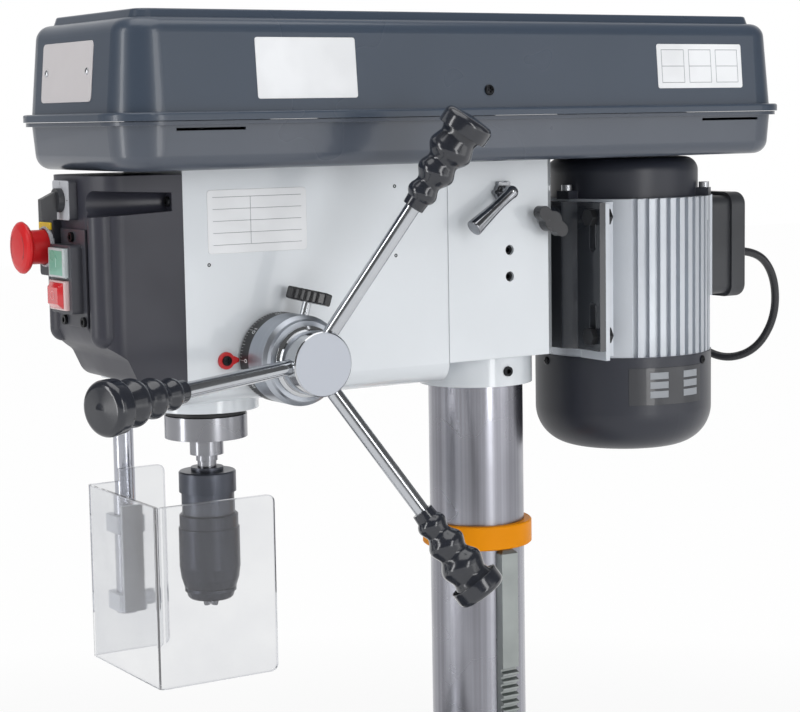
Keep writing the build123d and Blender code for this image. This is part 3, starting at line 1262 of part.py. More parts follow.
def return_spring():
    """Flat coil spring, wound as half rings of growing radius about two centres."""
    strips = []
    offset = SPRING_PITCH / 4
    for k in range(SPRING_HALF_TURNS):
        inner = SPRING_R0 + k * SPRING_PITCH / 2
        centre = offset if k % 2 else -offset
        ring = Circle(inner + SPRING_T) - Circle(inner)
        side = 1 if k % 2 else -1
        half = Pos(0, side * 2 * inner, 0) * Rectangle(4 * inner, 4 * inner)
        strips.append(Pos(centre, 0, 0) * (ring & half))
    outer_end = SPRING_R0 + (SPRING_HALF_TURNS - 1) * SPRING_PITCH / 2 + offset
    cup_inside = CUP_R - CUP_WALL
    whole = Pos(-(outer_end + cup_inside) / 2, 0) * Rectangle(cup_inside - outer_end, 2 * SPRING_T)
    for strip in strips:
        whole = whole + strip
    whole = whole & Circle(cup_inside)
    plane = Plane(origin=(CUP_END + CUP_WALL + 6, FEED_Y, FEED_Z), x_dir=(0, 1, 0), z_dir=(1, 0, 0))
    return plane.location * extrude(whole, SPRING_W)


def rounded_at(shape, axis, radius, **place):
    """A piece with its edges along one axis rounded where their middles lie at the named places."""
    edges = [e for e in shape.edges().filter_by(axis)
             if all(abs(abs(getattr(e.center(), name)) - abs(value)) < TOUCH for name,
                    value in place.items())]
    return fillet(edges, radius).solid()


def control_box_block(inset):
    """The control box's form drawn in by a wall: its side outline crossed with its plan."""
    side = HEAD_HALF_W - inset
    face = BOX_FACE_HALF - inset / 2
    front = BOX_FRONT + inset
    low = BOX_LOW + inset
    top = BOX_TOP - inset
    heel = BOX_HEEL_Y + inset
    chin_z = BOX_CHIN_Z + inset / 2
    neck_z = BOX_NECK_Z + inset / 2
    outline = prism([(HEAD_FRONT, top), (front, top), (front, chin_z), (BOX_NECK_Y + inset, neck_z),
                     (heel, low),
                     (HEAD_FRONT, low)], "x", -side, side)
    outline = rounded_at(outline, Axis.X, BOX_CHIN_ROUND - inset, Z=chin_z)
    outline = rounded_at(outline, Axis.X, BOX_NECK_ROUND + inset, Z=neck_z)
    outline = rounded_at(outline, Axis.X, BOX_HEEL_ROUND - inset, Y=heel, Z=low)
    plan = prism([(side, HEAD_FRONT), (side, BOX_SHOULDER_Y), (face, front), (-face, front),
                  (-side, BOX_SHOULDER_Y),
                  (-side, HEAD_FRONT)], "z", low, top)
    plan = rounded_at(plan, Axis.Z, BOX_SHOULDER_ROUND - inset, X=side, Y=BOX_SHOULDER_Y)
    plan = rounded_at(plan, Axis.Z, BOX_FACE_ROUND - inset, X=face, Y=front)
    return outline & plan


def screw_pocket(side, wall):
    """The way to a side screw, with a round floor, widest at the front; grown by a wall, it is its casing."""
    outlines = []
    outer = HEAD_HALF_W + 1
    for y, (depth, half) in ((RIDGE_Y - RIDGE_R - 1, POCKET_FRONT), (POCKET_Y1, POCKET_REAR)):
        middle = HEAD_HALF_W - depth + half
        high = half + wall
        corners = [(side * x, y, POCKET_Z + rise) for x, rise in (
            (middle, -high), (middle - high, 0), (middle, high), (outer, high), (outer, -high))]
        floor = Edge.make_three_point_arc(*corners[:3])
        walls = [Edge.make_line(a, b) for a, b in zip(corners[2:], corners[3:] + corners[:1])]
        outlines.append(Wire([floor, *walls]))
    return Solid.make_loft(outlines, ruled=True)


def control_box():
    """Moulded control box on the head's front, with a pad for the emergency stop, side pockets and ridges."""
    body = control_box_block(0)
    hollow = control_box_block(BOX_WALL)
    rib_z = (BOX_LOW + BOX_TOP) / 2
    rib = box(-HEAD_HALF_W, HEAD_HALF_W, BOX_FRONT, HEAD_FRONT, rib_z - BOX_RIB_T / 2, rib_z + BOX_RIB_T / 2)
    inside = HEAD_HALF_W - POCKET_REAR[0] - BOX_WALL
    high = POCKET_REAR[1] + BOX_WALL
    cheeks = []
    ridges = []
    pockets = []
    for side in (-1, 1):
        near, far = sorted((side * inside, side * (HEAD_HALF_W + 1)))
        cheeks.append(screw_pocket(side, BOX_WALL))
        cheeks.append(box(near, far, POCKET_Y1, HEAD_FRONT, POCKET_Z - high, POCKET_Z + high))
        pockets.append(screw_pocket(side, 0))
        ridges.append(upright(side * RIDGE_X, RIDGE_Y, RIDGE_LOW, POCKET_Z, RIDGE_R))
        ridges.append((Pos(side * RIDGE_X, RIDGE_Y, RIDGE_LOW) * Sphere(RIDGE_R)).solid())
        x, z = box_screw_place(side)
        pockets.append(rod((x, POCKET_Y1, z), (x, HEAD_FRONT, z), PLATE_SCREW_R + SCREW_FIT))
    shell = cut(body, cut(hollow, rib, *cheeks))
    pad = box(PAD_X - PAD_W / 2, PAD_X + PAD_W / 2, BOX_FRONT - PAD_T, BOX_FRONT + PAD_SINK,
              ESTOP_Z - PAD_H / 2, ESTOP_Z + PAD_H / 2)
    pad = fillet(pad.edges().filter_by(Axis.Y), PAD_ROUND).solid()
    socket = rod((PAD_X, BOX_FRONT - PAD_T, ESTOP_Z), (PAD_X, BOX_FRONT - PAD_T + ESTOP_SINK, ESTOP_Z),
                 ESTOP_STEM_R + FREE_GAP)
    screw_holes = [rod((x, BOX_FRONT, PLATE_TOP + dz), (x, BOX_FRONT + BOX_WALL, PLATE_TOP + dz),
                       PLATE_SCREW_R + SCREW_FIT) for x, dz in PLATE_SCREWS]
    return cut(joined(shell, pad, *ridges), socket, *pockets, *screw_holes)


def button_span(row):
    """Top and bottom of a push button: row 0 is start, row 1 is stop."""
    top = SWITCH_TOP - BUTTON_INSET - row * (BUTTON_H + BUTTON_INSET)
    return top - BUTTON_H, top


def control_plate():
    """Front plate, push-button housing and selector base, three separate mouldings."""
    plate = box(PLATE_X[0], PLATE_X[1], BOX_FRONT - PLATE_T, BOX_FRONT, PLATE_TOP - PLATE_H, PLATE_TOP)
    holes = [rod((x, BOX_FRONT - PLATE_T, PLATE_TOP + dz), (x, BOX_FRONT, PLATE_TOP + dz),
                 PLATE_SCREW_R + SCREW_FIT)
             for x, dz in PLATE_SCREWS]
    housing = box(SWITCH_X - SWITCH_W / 2, SWITCH_X + SWITCH_W / 2, SWITCH_FRONT, BOX_FRONT - PLATE_T,
                  SWITCH_TOP - SWITCH_H, SWITCH_TOP)
    housing = fillet(housing.edges().filter_by(Axis.Y), SWITCH_ROUND).solid()
    for row in (0, 1):
        low, high = button_span(row)
        half = BUTTON_W / 2 + FREE_GAP
        housing = cut(housing, box(SWITCH_X - half, SWITCH_X + half, SWITCH_FRONT, SWITCH_FRONT + BUTTON_SINK,
                                   low - FREE_GAP, high + FREE_GAP))
    half = SELECTOR_SIDE / 2
    selector = box(-half, half, SELECTOR_FRONT, BOX_FRONT, SELECTOR_Z - half, SELECTOR_Z + half)
    selector = fillet(selector.edges().filter_by(Axis.Y), SWITCH_ROUND).solid()
    return [cut(plate, *holes), housing, selector]


def push_button(row):
    """A rectangular push button, seated in its well with room to travel."""
    low, high = button_span(row)
    deep = SWITCH_FRONT + BUTTON_SINK - BUTTON_TRAVEL - FREE_GAP
    piece = box(SWITCH_X - BUTTON_W / 2, SWITCH_X + BUTTON_W / 2, SWITCH_FRONT - BUTTON_PROUD, deep, low,
                high)
    front = [e for e in piece.edges() if e.center().Y < SWITCH_FRONT - BUTTON_PROUD + TOUCH]
    return fillet(front, BUTTON_ROUND).solid()


def estop_button():
    """Red mushroom with a thick stem, seated in the control box's pad."""
    seat = BOX_FRONT - PAD_T
    deep = ESTOP_SINK - ESTOP_TRAVEL - FREE_GAP
    rim = ESTOP_STEM_L
    crown = rim + ESTOP_HEAD_T
    points = [(0, -deep), (ESTOP_STEM_R, -deep), (ESTOP_STEM_R, rim)]
    points += [(ESTOP_R - inwards, rim + out) for inwards, out in ESTOP_RIM]
    points += [(ESTOP_R * share, crown - back) for share, back in ESTOP_FACE]
    points.append((0, crown))
    return turned(points, front_plane(PAD_X, seat, ESTOP_Z))


def selector_knob():
    """Rotary selector: a round boss with a pistol-shaped blade across it."""
    boss = Solid.make_cylinder(KNOB_R - 1, KNOB_T, front_plane(0, SELECTOR_FRONT - FREE_GAP, SELECTOR_Z))
    y0 = SELECTOR_FRONT - FREE_GAP
    y1 = y0 - BLADE_OUT
    root = SELECTOR_Z - KNOB_R + BLADE_ROOT
    outline = [(y0, SELECTOR_Z + BLADE_UP), (y1, SELECTOR_Z + BLADE_UP - BLADE_SLOPE),
               (y1, SELECTOR_Z - BLADE_DOWN),
               (y0 - KNOB_T, SELECTOR_Z - BLADE_DOWN), (y0 - KNOB_T, root), (y0, root)]
    blade = prism(outline, "x", -BLADE_W / 2, BLADE_W / 2)
    return joined(boss, blade)


def guard_rod():
    """Steel rod that hangs the guard from the head's lug."""
    return upright(GUARD_X, GUARD_Y, GUARD_ROD_LOW, GUARD_LUG_TOP + 4, GUARD_ROD_R)


def guard_shield():
    """Clear bent shield: right wing, front and shorter left wing with a raised tab."""
    y0 = GUARD_FRONT
    top = GUARD_LOW + GUARD_H
    high = GUARD_H + GUARD_TAB_H
    centre = (0, y0 + GUARD_RIGHT_L, GUARD_LOW)
    outer = rounded_block(2 * GUARD_HALF_W, 2 * GUARD_RIGHT_L, GUARD_BEND + GUARD_T, high, centre)
    inner = rounded_block(2 * (GUARD_HALF_W - GUARD_T), 2 * (GUARD_RIGHT_L - GUARD_T), GUARD_BEND, high,
                          centre)
    right = box(0, GUARD_HALF_W, y0, y0 + GUARD_RIGHT_L, GUARD_LOW, top)
    right = fillet([e for e in right.edges().filter_by(Axis.X) if e.center().Y > y0 + 1], GUARD_ROUND).solid()
    rear = y0 + GUARD_LEFT_L
    outline = [(y0, GUARD_LOW), (rear, GUARD_LOW), (rear, top + GUARD_TAB_H),
               (rear - GUARD_TAB_L, top + GUARD_TAB_H), (rear - GUARD_TAB_L, top), (y0, top)]
    left = prism(outline, "x", -GUARD_HALF_W, 0)
    left = fillet([e for e in left.edges().filter_by(Axis.X) if e.center().Y > rear - 1], GUARD_ROUND).solid()
    return cut(outer, inner) & joined(right, left)


def guard_clamp():
    """Strap on the shield's left wing with two blocks that slide on the rod, and a small knob."""
    x1 = -GUARD_HALF_W
    x0 = x1 - STRAP_T
    strap = box(x0, x1, GUARD_Y - STRAP_W / 2, GUARD_Y + STRAP_W / 2, STRAP_LOW, STRAP_LOW + STRAP_H)
    piece = strap
    for low in CLAMP_LOWS:
        block = box(GUARD_X - CLAMP_WRAP, x0, GUARD_Y - CLAMP_WRAP, GUARD_Y + CLAMP_WRAP, low, low + CLAMP_H)
        piece = joined(piece, rounded_at(block, Axis.Z, CLAMP_ROUND, X=GUARD_X - CLAMP_WRAP))
    z = CLAMP_LOWS[0] + CLAMP_H / 2
    knob = rod((GUARD_X, GUARD_Y + CLAMP_WRAP, z), (GUARD_X, GUARD_Y + CLAMP_WRAP + CLAMP_KNOB_L, z),
               CLAMP_KNOB_R)
    piece = joined(piece, knob)
    return cut(piece, upright(GUARD_X, GUARD_Y, STRAP_LOW, STRAP_LOW + STRAP_H, GUARD_ROD_R + RUN_FIT))


def motor_bracket():
    """Bent plate with two slide rods welded to its middle."""
    f0 = MOTOR_FOOT_Y - BRACKET_T
    m0 = f0 - BRACKET_STEP
    a, b = BRACKET_BEND
    outer = MOTOR_FOOT_X[1]
    half = [(0, m0), (a, m0), (b, f0), (outer, f0)]
    back = [(x, y + BRACKET_T) for x, y in reversed(half)]
    right = half[1:] + back[:-1]
    plate = prism(right + [(-x, y) for x, y in reversed(right)], "z", BRACKET_LOW, BRACKET_TOP)
    slots = []
    for sx in (-1, 1):
        for z0 in bracket_slot_lows():
            x = sx * BRACKET_SLOT_X
            slot = SlotOverall(BRACKET_SLOT_L, BRACKET_SLOT_W, rotation=90)
            plane = front_plane(x, f0 + BRACKET_T, z0 + BRACKET_SLOT_L / 2)
            slots.append(extrude(plane.location * slot, BRACKET_T).solid())
    piece = cut(plate, *slots)
    for sx in (-1, 1):
        slide = rod((sx * SLIDE_X, SLIDE_TIP_Y, SLIDE_Z), (sx * SLIDE_X, m0, SLIDE_Z), SLIDE_R)
        if sx > 0:
            slide = cut(slide, *slide_rack_cuts())
        piece = joined(piece, slide)
    return piece


def slide_rack_cuts():
    """Flat and tooth gaps on top of the right-hand slide rod."""
    pitch_z = LEVER_Z - LEVER_PITCH_R
    tip_z = pitch_z + RACK_ADDENDUM * LEVER_MODULE
    low = LEVER_Y - LEVER_RACK_HALF
    high = LEVER_Y + LEVER_RACK_HALF + MOTOR_TRAVEL
    flat = box(SLIDE_X - SLIDE_R, SLIDE_X + SLIDE_R, low, high, tip_z, SLIDE_Z + SLIDE_R + 1)
    (root, narrow), (top, wide) = rack_gap(LEVER_MODULE)
    cuts = [flat]
    for y in rack_places(LEVER_Y, low + 2, high - 2, LEVER_MODULE):
        outline = [(y - narrow, pitch_z + root), (y - wide, pitch_z + top), (y + wide, pitch_z + top),
                   (y + narrow, pitch_z + root)]
        cuts.append(prism(outline, "x", SLIDE_X - SLIDE_R, SLIDE_X + SLIDE_R))
    return cuts


def bracket_slot_lows():
    return (BRACKET_LOW + BRACKET_SLOT_INSET, BRACKET_TOP - BRACKET_SLOT_INSET - BRACKET_SLOT_L)


def bracket_bolt_places():
    lows = bracket_slot_lows()
    near = BRACKET_SLOT_W / 2 + 1
    zs = (lows[0] + near, lows[1] + BRACKET_SLOT_L - near)
    return [(sx * BRACKET_SLOT_X, z) for sx in (-1, 1) for z in zs]


def lug_places():
    angles = [math.radians(a) for a in LUG_ANGLES]
    return [(TIE_R * math.cos(a), MOTOR_Y + TIE_R * math.sin(a)) for a in angles]


def motor_bolts():
    """Hexagon bolts of the motor's feet with their nuts, and the motor's tie bolts."""
    pieces = []
    for x, z in bracket_bolt_places():
        plane = front_plane(x, MOTOR_FOOT_Y - BRACKET_T, z)
        length = BRACKET_T + MOTOR_FOOT_T + BRACKET_NUT_H
        pieces.append(hex_bolt(plane, BRACKET_BOLT_R, length, BRACKET_BOLT_HEAD_R, BRACKET_BOLT_HEAD_H))
        back = front_plane(x, MOTOR_FOOT_Y + MOTOR_FOOT_T, z)
        nut = extrude(RegularPolygon(BRACKET_BOLT_HEAD_R, 6) - Circle(BRACKET_BOLT_R + SCREW_FIT),
                      -BRACKET_NUT_H)
        pieces.append(back.location * nut)
    for x, y in lug_places():
        plane = Plane((x, y, BODY_TOP + LUG_H))
        pieces.append(cap_screw(plane, TIE_BOLT_R, LUG_H + TIE_DEPTH, TIE_HEAD_R, TIE_HEAD_H))
    return pieces


def motor_section():
    """Section of the motor body: a disc with cooling grooves, plain towards the head."""
    section = Circle(MOTOR_R)
    for k in range(GROOVE_COUNT):
        angle = 90 + GROOVE_STEP * (k - (GROOVE_COUNT - 1) / 2)
        section = section - Rot(0, 0, angle) * Pos(MOTOR_R, 0) * Rectangle(2 * GROOVE_DEPTH, GROOVE_W)
    return section


def motor_feet():
    """Two cast feet behind the bent plate's flanges, each on a web from the body."""
    near, far = MOTOR_FOOT_X
    deep = MOTOR_Y - STATOR_BORE_R - BELL_WALL
    feet = []
    for side in (-1, 1):
        for width, y1 in ((far - near, MOTOR_FOOT_Y + MOTOR_FOOT_T), (MOTOR_FOOT_WEB, deep)):
            x0, x1 = sorted((side * near, side * (near + width)))
            feet.append(box(x0, x1, MOTOR_FOOT_Y, y1, MOTOR_FOOT_LOW, MOTOR_FOOT_TOP))
    return feet


def motor_body():
    """Grooved aluminium motor body with its cast feet and a pad for the terminal box."""
    body = extrude(Pos(0, MOTOR_Y, BODY_LOW) * motor_section(), BODY_TOP - BODY_LOW).solid()
    end_plate = upright(0, MOTOR_Y, BODY_LOW - END_PLATE_H, BODY_LOW, COVER_R - FAN_COVER_T)
    pad = box(-TBOX_HALF_W, TBOX_HALF_W, MOTOR_Y + STATOR_BORE_R + ROTOR_GAP, TBOX_PAD_Y, TBOX_LOW, BODY_TOP)
    seat = box(-TBOX_HALF_W - TBOX_LID_OVER, TBOX_HALF_W + TBOX_LID_OVER, TBOX_PAD_Y, MOTOR_Y + MOTOR_R,
               TBOX_LOW - TBOX_LID_OVER, BODY_TOP)
    boss_low = BODY_TOP - TIE_DEPTH - SCREW_TIP - LUG_W / 2
    bosses = [upright(x, y, boss_low, BODY_TOP, LUG_W / 2) & upright(0, MOTOR_Y, BODY_LOW, BODY_TOP, MOTOR_R)
              for x, y in lug_places()]
    piece = cut(joined(body, end_plate, pad, *bosses, *motor_feet()), seat)
    holes = [upright(0, MOTOR_Y, BODY_LOW, BODY_TOP, STATOR_BORE_R),
             upright(0, MOTOR_Y, BODY_LOW - END_PLATE_H, BODY_LOW, SHAFT_R + RUN_FIT)]
    holes += [rod((x, MOTOR_FOOT_Y, z), (x, MOTOR_FOOT_Y + MOTOR_FOOT_T, z), BRACKET_BOLT_R + SCREW_FIT)
              for x, z in bracket_bolt_places()]
    holes += [upright(x, y, BODY_TOP - TIE_DEPTH - SCREW_TIP, BODY_TOP, TIE_BOLT_R + SCREW_FIT)
              for x, y in lug_places()]
    return cut(piece, *holes)


def motor_end_bell():
    """Upper end bell with three lugs and the bore of the shaft's bearing."""
    top = BODY_TOP + BELL_H
    dome = upright(0, MOTOR_Y, BODY_TOP, top, BELL_R)
    dome = fillet(flat_edges(dome, top), BELL_ROUND).solid()
    hollow = upright(0, MOTOR_Y, BODY_TOP, top - BELL_TOP_T, BELL_R - BELL_WALL)
    hub = upright(0, MOTOR_Y, BODY_TOP + BELL_TOP_T / 2, top, BELL_HUB_R)
    piece = joined(cut(dome, hollow), hub)
    root = BELL_R - BELL_WALL
    for angle, (x, y) in zip(LUG_ANGLES, lug_places()):
        lug = Pos(0, MOTOR_Y, BODY_TOP) * Rot(0, 0, angle) * box(root, LUG_R, -LUG_W / 2, LUG_W / 2, 0, LUG_H)
        piece = joined(piece, cut(lug, upright(x, y, BODY_TOP, BODY_TOP + LUG_H, TIE_BOLT_R + SCREW_FIT)))
    return cut(piece, upright(0, MOTOR_Y, BODY_TOP, top, SHAFT_R + RUN_FIT))


def fan_cover():
    """Drawn fan cover over the motor's lower end, with an air inlet and slots in its bottom."""
    low = BODY_LOW - FAN_COVER_H
    outer = upright(0, MOTOR_Y, low, BODY_LOW, COVER_R)
    outer = fillet(flat_edges(outer, low), FAN_COVER_ROUND).solid()
    floor = low + FAN_COVER_T
    inner = upright(0, MOTOR_Y, floor, BODY_LOW, COVER_R - FAN_COVER_T)
    inner = fillet(flat_edges(inner, floor), FAN_COVER_ROUND).solid()
    piece = cut(outer, inner, upright(0, MOTOR_Y, low, floor, FAN_INLET_R))
    for k in range(FAN_SLOTS):
        slot = Pos(FAN_SLOT_R, 0) * SlotOverall(FAN_SLOT_L, FAN_SLOT_W)
        slot = Pos(0, MOTOR_Y, low) * Rot(0, 0, 360 * k / FAN_SLOTS) * slot
        piece = cut(piece, extrude(slot, FAN_COVER_T).solid())
    return piece


def terminal_box():
    """Terminal box and its lid with the cable gland, two mouldings on the motor's back."""
    height = TBOX_TOP - TBOX_LOW
    middle = (TBOX_TOP + TBOX_LOW) / 2
    plane = Plane(origin=(0, TBOX_PAD_Y, middle), x_dir=(1, 0, 0), z_dir=(0, 1, 0))
    lower = extrude(plane.location * RectangleRounded(2 * TBOX_HALF_W, height, TBOX_CORNER),
                    TBOX_BASE_T).solid()
    lid_plane = plane.offset(TBOX_BASE_T)
    wide = 2 * (TBOX_HALF_W + TBOX_LID_OVER)
    tall = height + 2 * TBOX_LID_OVER
    lid = extrude(lid_plane.location * RectangleRounded(wide, tall, TBOX_CORNER + TBOX_LID_OVER),
                  TBOX_LID_T).solid()
    face = TBOX_PAD_Y + TBOX_BASE_T + TBOX_LID_T
    lid = fillet([e for e in lid.edges() if abs(e.center().Y - face) < TOUCH], TBOX_ROUND).solid()
    gland = rod((0, face - 1, GLAND_Z), (0, face + GLAND_L, GLAND_Z), GLAND_R)
    return [lower, joined(lid, gland)]


def cable_radii():
    """Bend radius at each corner of the cable's route, from its shorter run and its turn."""
    points = [Vector(*p) for p in CABLE_ROUTE]
    radii = []
    for a, b, c in zip(points, points[1:], points[2:]):
        turn = math.radians((b - a).get_angle(c - b))
        radii.append(CABLE_BEND * min((b - a).length, (c - b).length) / math.tan(turn / 2))
    return radii


def motor_cable():
    """Motor cable from the terminal box's gland to the entry on the head's left side."""
    path = FilletPolyline(*CABLE_ROUTE, radius=cable_radii())
    start = Plane(origin=CABLE_ROUTE[0], z_dir=Vector(*CABLE_ROUTE[1]) - Vector(*CABLE_ROUTE[0]))
    return sweep(start.location * Circle(CABLE_R), path=path).solid()


def motor_shaft():
    """Motor shaft with the rotor on it."""
    top = PULLEY_LOW + 4 * STEP_H
    shaft = upright(0, MOTOR_Y, BODY_LOW - SHAFT_TAIL, top, SHAFT_R)
    rotor = upright(0, MOTOR_Y, BODY_LOW + ROTOR_END, BODY_TOP - ROTOR_END, STATOR_BORE_R - ROTOR_GAP)
    return joined(shaft, rotor)


def cooling_fan():
    """Plastic fan with straight blades on the shaft's lower end."""
    low = BODY_LOW - FAN_DROP
    hub_r = SHAFT_R + FAN_HUB_WALL
    hub = upright(0, MOTOR_Y, low, low + FAN_HUB_H, hub_r)
    disc = upright(0, MOTOR_Y, low + FAN_HUB_H - FAN_DISC_T, low + FAN_HUB_H, FAN_R)
    piece = joined(hub, disc)
    start = hub_r - FAN_HUB_WALL / 2
    for k in range(FAN_BLADES):
        blade = box(start, FAN_R - FAN_BLADE_T, -FAN_BLADE_T / 2, FAN_BLADE_T / 2, low,
                    low + FAN_HUB_H - FAN_DISC_T)
        piece = joined(piece, Pos(0, MOTOR_Y, 0) * Rot(0, 0, 360 * k / FAN_BLADES) * blade)
    return cut(piece, upright(0, MOTOR_Y, low, low + FAN_HUB_H, SHAFT_R))


def tension_lever():
    """Chromed lever on a cross shaft whose pinion moves the right-hand slide rod."""
    plane = Plane(origin=(SLIDE_X - LEVER_PINION_HALF, LEVER_Y, LEVER_Z), x_dir=(0, 0, -1), z_dir=(1, 0, 0))
    pinion = gear(LEVER_MODULE, LEVER_TEETH, 2 * LEVER_PINION_HALF, plane)
    side = HEAD_HALF_W + HEAD_STEP + FREE_GAP
    outer = side + LEVER_BOSS_L
    shaft = rod((LEVER_SHAFT_X0, LEVER_Y, LEVER_Z), (outer, LEVER_Y, LEVER_Z), LEVER_SHAFT_R)
    boss = rod((side, LEVER_Y, LEVER_Z), (outer, LEVER_Y, LEVER_Z), LEVER_BOSS_R)
    for k in range(LEVER_LOBES):
        turn = 2 * math.pi * k / LEVER_LOBES
        y = LEVER_Y + LEVER_BOSS_R * math.cos(turn)
        z = LEVER_Z + LEVER_BOSS_R * math.sin(turn)
        boss = joined(boss, rod((side, y, z), (outer, y, z), LEVER_LOBE_R))
    neck = rod((outer, LEVER_Y, LEVER_Z), (LEVER_X, LEVER_Y, LEVER_Z), LEVER_NECK_R)
    reach = Vector(LEVER_ARM_OUT, *LEVER_ARM)
    points = [(radius, 0, share * reach.length) for share, radius in LEVER_PROFILE]
    flank = Spline(*points)
    end = Line(points[-1], (0, 0, reach.length))
    middle = Line((0, 0, reach.length), (0, 0, 0))
    foot = Line((0, 0, 0), points[0])
    arm = revolve(make_face([flank, end, middle, foot]), Axis.Z).solid()
    arm = fillet([e for e in arm.edges() if abs(e.center().Z - reach.length) < TOUCH], LEVER_EDGE).solid()
    arm = Plane(origin=(LEVER_X, LEVER_Y, LEVER_Z), z_dir=reach).location * arm
    elbow = Pos(LEVER_X, LEVER_Y, LEVER_Z) * Sphere(LEVER_NECK_R)
    return joined(pinion, shaft, boss, neck, arm, elbow.solid())


def slide_lock():
    """Wing knob whose stud bears on the right-hand slide rod."""
    start = SLIDE_X + SLIDE_R + FREE_GAP
    stud = rod((start, LOCK_KNOB_Y, SLIDE_Z), (WING_X0 + 2, LOCK_KNOB_Y, SLIDE_Z), LOCK_STUD_R)
    hub = rod((WING_X0, LOCK_KNOB_Y, SLIDE_Z), (WING_X0 + WING_T, LOCK_KNOB_Y, SLIDE_Z), WING_R)
    sketch = SlotOverall(WING_L, WING_R * 1.3, rotation=-WING_TURN)
    wing = extrude(side_plane(WING_X0 + 1, LOCK_KNOB_Y, SLIDE_Z).location * sketch, WING_T - 1).solid()
    return joined(stud, hub, wing)


def table():
    """Ground square table with four clamping slots, a centre hole and a hub for tilting."""
    low = TABLE_TOP - TABLE_T
    plate = rounded_block(TABLE_SIDE, TABLE_SIDE, TABLE_CORNER, TABLE_T, (0, 0, low))
    hub = rod((0, TABLE_HUB_Y0, TILT_Z), (0, TILT_FACE_Y - FREE_GAP, TILT_Z), TILT_R)
    web = box(-TABLE_WEB_HALF, TABLE_WEB_HALF, TABLE_HUB_Y0, TILT_FACE_Y - FREE_GAP, TILT_Z, low)
    tools = [upright(0, 0, low, TABLE_TOP, TABLE_HOLE_R),
             rod((0, TABLE_HUB_Y0, TILT_Z), (0, TILT_FACE_Y, TILT_Z), TILT_PIN_R + RUN_FIT)]
    for sx in (-1, 1):
        for sy in (-1, 1):
            slot = Pos(sx * TABLE_SLOT_DX / 2, sy * TABLE_SLOT_DY / 2, low) * SlotOverall(TABLE_SLOT_L,
                                                                                          TABLE_SLOT_W)
            tools.append(extrude(slot, TABLE_T).solid())
    return cut(joined(plate, hub, web), *tools)


def table_bracket():
    """Cast bracket that clasps the column, with the table's arm, the lift gearbox and the clamp lugs."""
    top = CLASP_LOW + CLASP_H
    clasp = upright(0, COLUMN_Y, CLASP_LOW, top, CLASP_R)
    arm = box(-ARM_HALF, ARM_HALF, TILT_FACE_Y + 2, COLUMN_Y - COLUMN_R, TILT_Z - ARM_H / 2,
              TILT_Z + ARM_H / 2)
    flange = rod((0, TILT_FACE_Y, TILT_Z), (0, TILT_FACE_Y + TILT_FLANGE_T, TILT_Z), TILT_R)
    pin = rod((0, TABLE_HUB_Y0 + 2, TILT_Z), (0, TILT_FACE_Y, TILT_Z), TILT_PIN_R)
    gearbox = box(COLUMN_R, GEARBOX_X1, COLUMN_Y - GEARBOX_HALF, COLUMN_Y + GEARBOX_HALF, GEARBOX_LOW,
                  GEARBOX_TOP)
    lugs = box(-CLASP_LUG_HALF, CLASP_LUG_HALF, COLUMN_Y + COLUMN_R, COLUMN_Y + CLASP_R + CLASP_LUG_OUT - 4,
               CLAMP_Z - CLASP_LUG_H / 2, CLAMP_Z + CLASP_LUG_H / 2)
    piece = joined(clasp, arm, flange, gearbox, lugs)
    tip_r = LIFT_PITCH_R + GEAR_ADDENDUM * LIFT_MODULE + FREE_GAP
    half = LIFT_WIDTH / 2 + FREE_GAP
    slot_half = RACK_W / 2 + FREE_GAP
    rack_face = COLUMN_R + 2 * FREE_GAP + RACK_T
    tools = [upright(0, COLUMN_Y, CLASP_LOW, top, COLUMN_R + RUN_FIT),
             box(0, rack_face, COLUMN_Y - slot_half, COLUMN_Y + slot_half, CLASP_LOW, top),
             rod((LIFT_X, COLUMN_Y - half, LIFT_Z), (LIFT_X, COLUMN_Y + half, LIFT_Z), tip_r),
             rod((LIFT_X, COLUMN_Y - GEARBOX_HALF, LIFT_Z), (LIFT_X, COLUMN_Y + GEARBOX_HALF, LIFT_Z),
                 LIFT_PIN_R + RUN_FIT),
             rod((rack_face, COLUMN_Y, WORM_Z), (GEARBOX_X1, COLUMN_Y, WORM_Z), WORM_R + RUN_FIT),
             box(LIFT_X - WORM_R, LIFT_X + WORM_R, COLUMN_Y - WORM_R, COLUMN_Y + WORM_R, LIFT_Z, WORM_Z),
             box(-CLASP_SLIT / 2, CLASP_SLIT / 2, COLUMN_Y, COLUMN_Y + CLASP_R + CLASP_LUG_OUT, CLASP_LOW,
                 top),
             rod((-CLASP_LUG_HALF, CLAMP_Y, CLAMP_Z), (CLASP_LUG_HALF, CLAMP_Y, CLAMP_Z),
                 CLAMP_BOLT_R + RUN_FIT)]
    return joined(cut(piece, *tools), pin)


def lift_gear():
    """Lift gear on its cross pin, in mesh with the rack."""
    plane = Plane(origin=(LIFT_X, COLUMN_Y - LIFT_WIDTH / 2, LIFT_Z), x_dir=(-1, 0, 0), z_dir=(0, 1, 0))
    wheel = gear(LIFT_MODULE, LIFT_TEETH, LIFT_WIDTH, plane)
    pin = rod((LIFT_X, COLUMN_Y - GEARBOX_HALF, LIFT_Z), (LIFT_X, COLUMN_Y + GEARBOX_HALF, LIFT_Z),
              LIFT_PIN_R)
    return joined(wheel, pin)


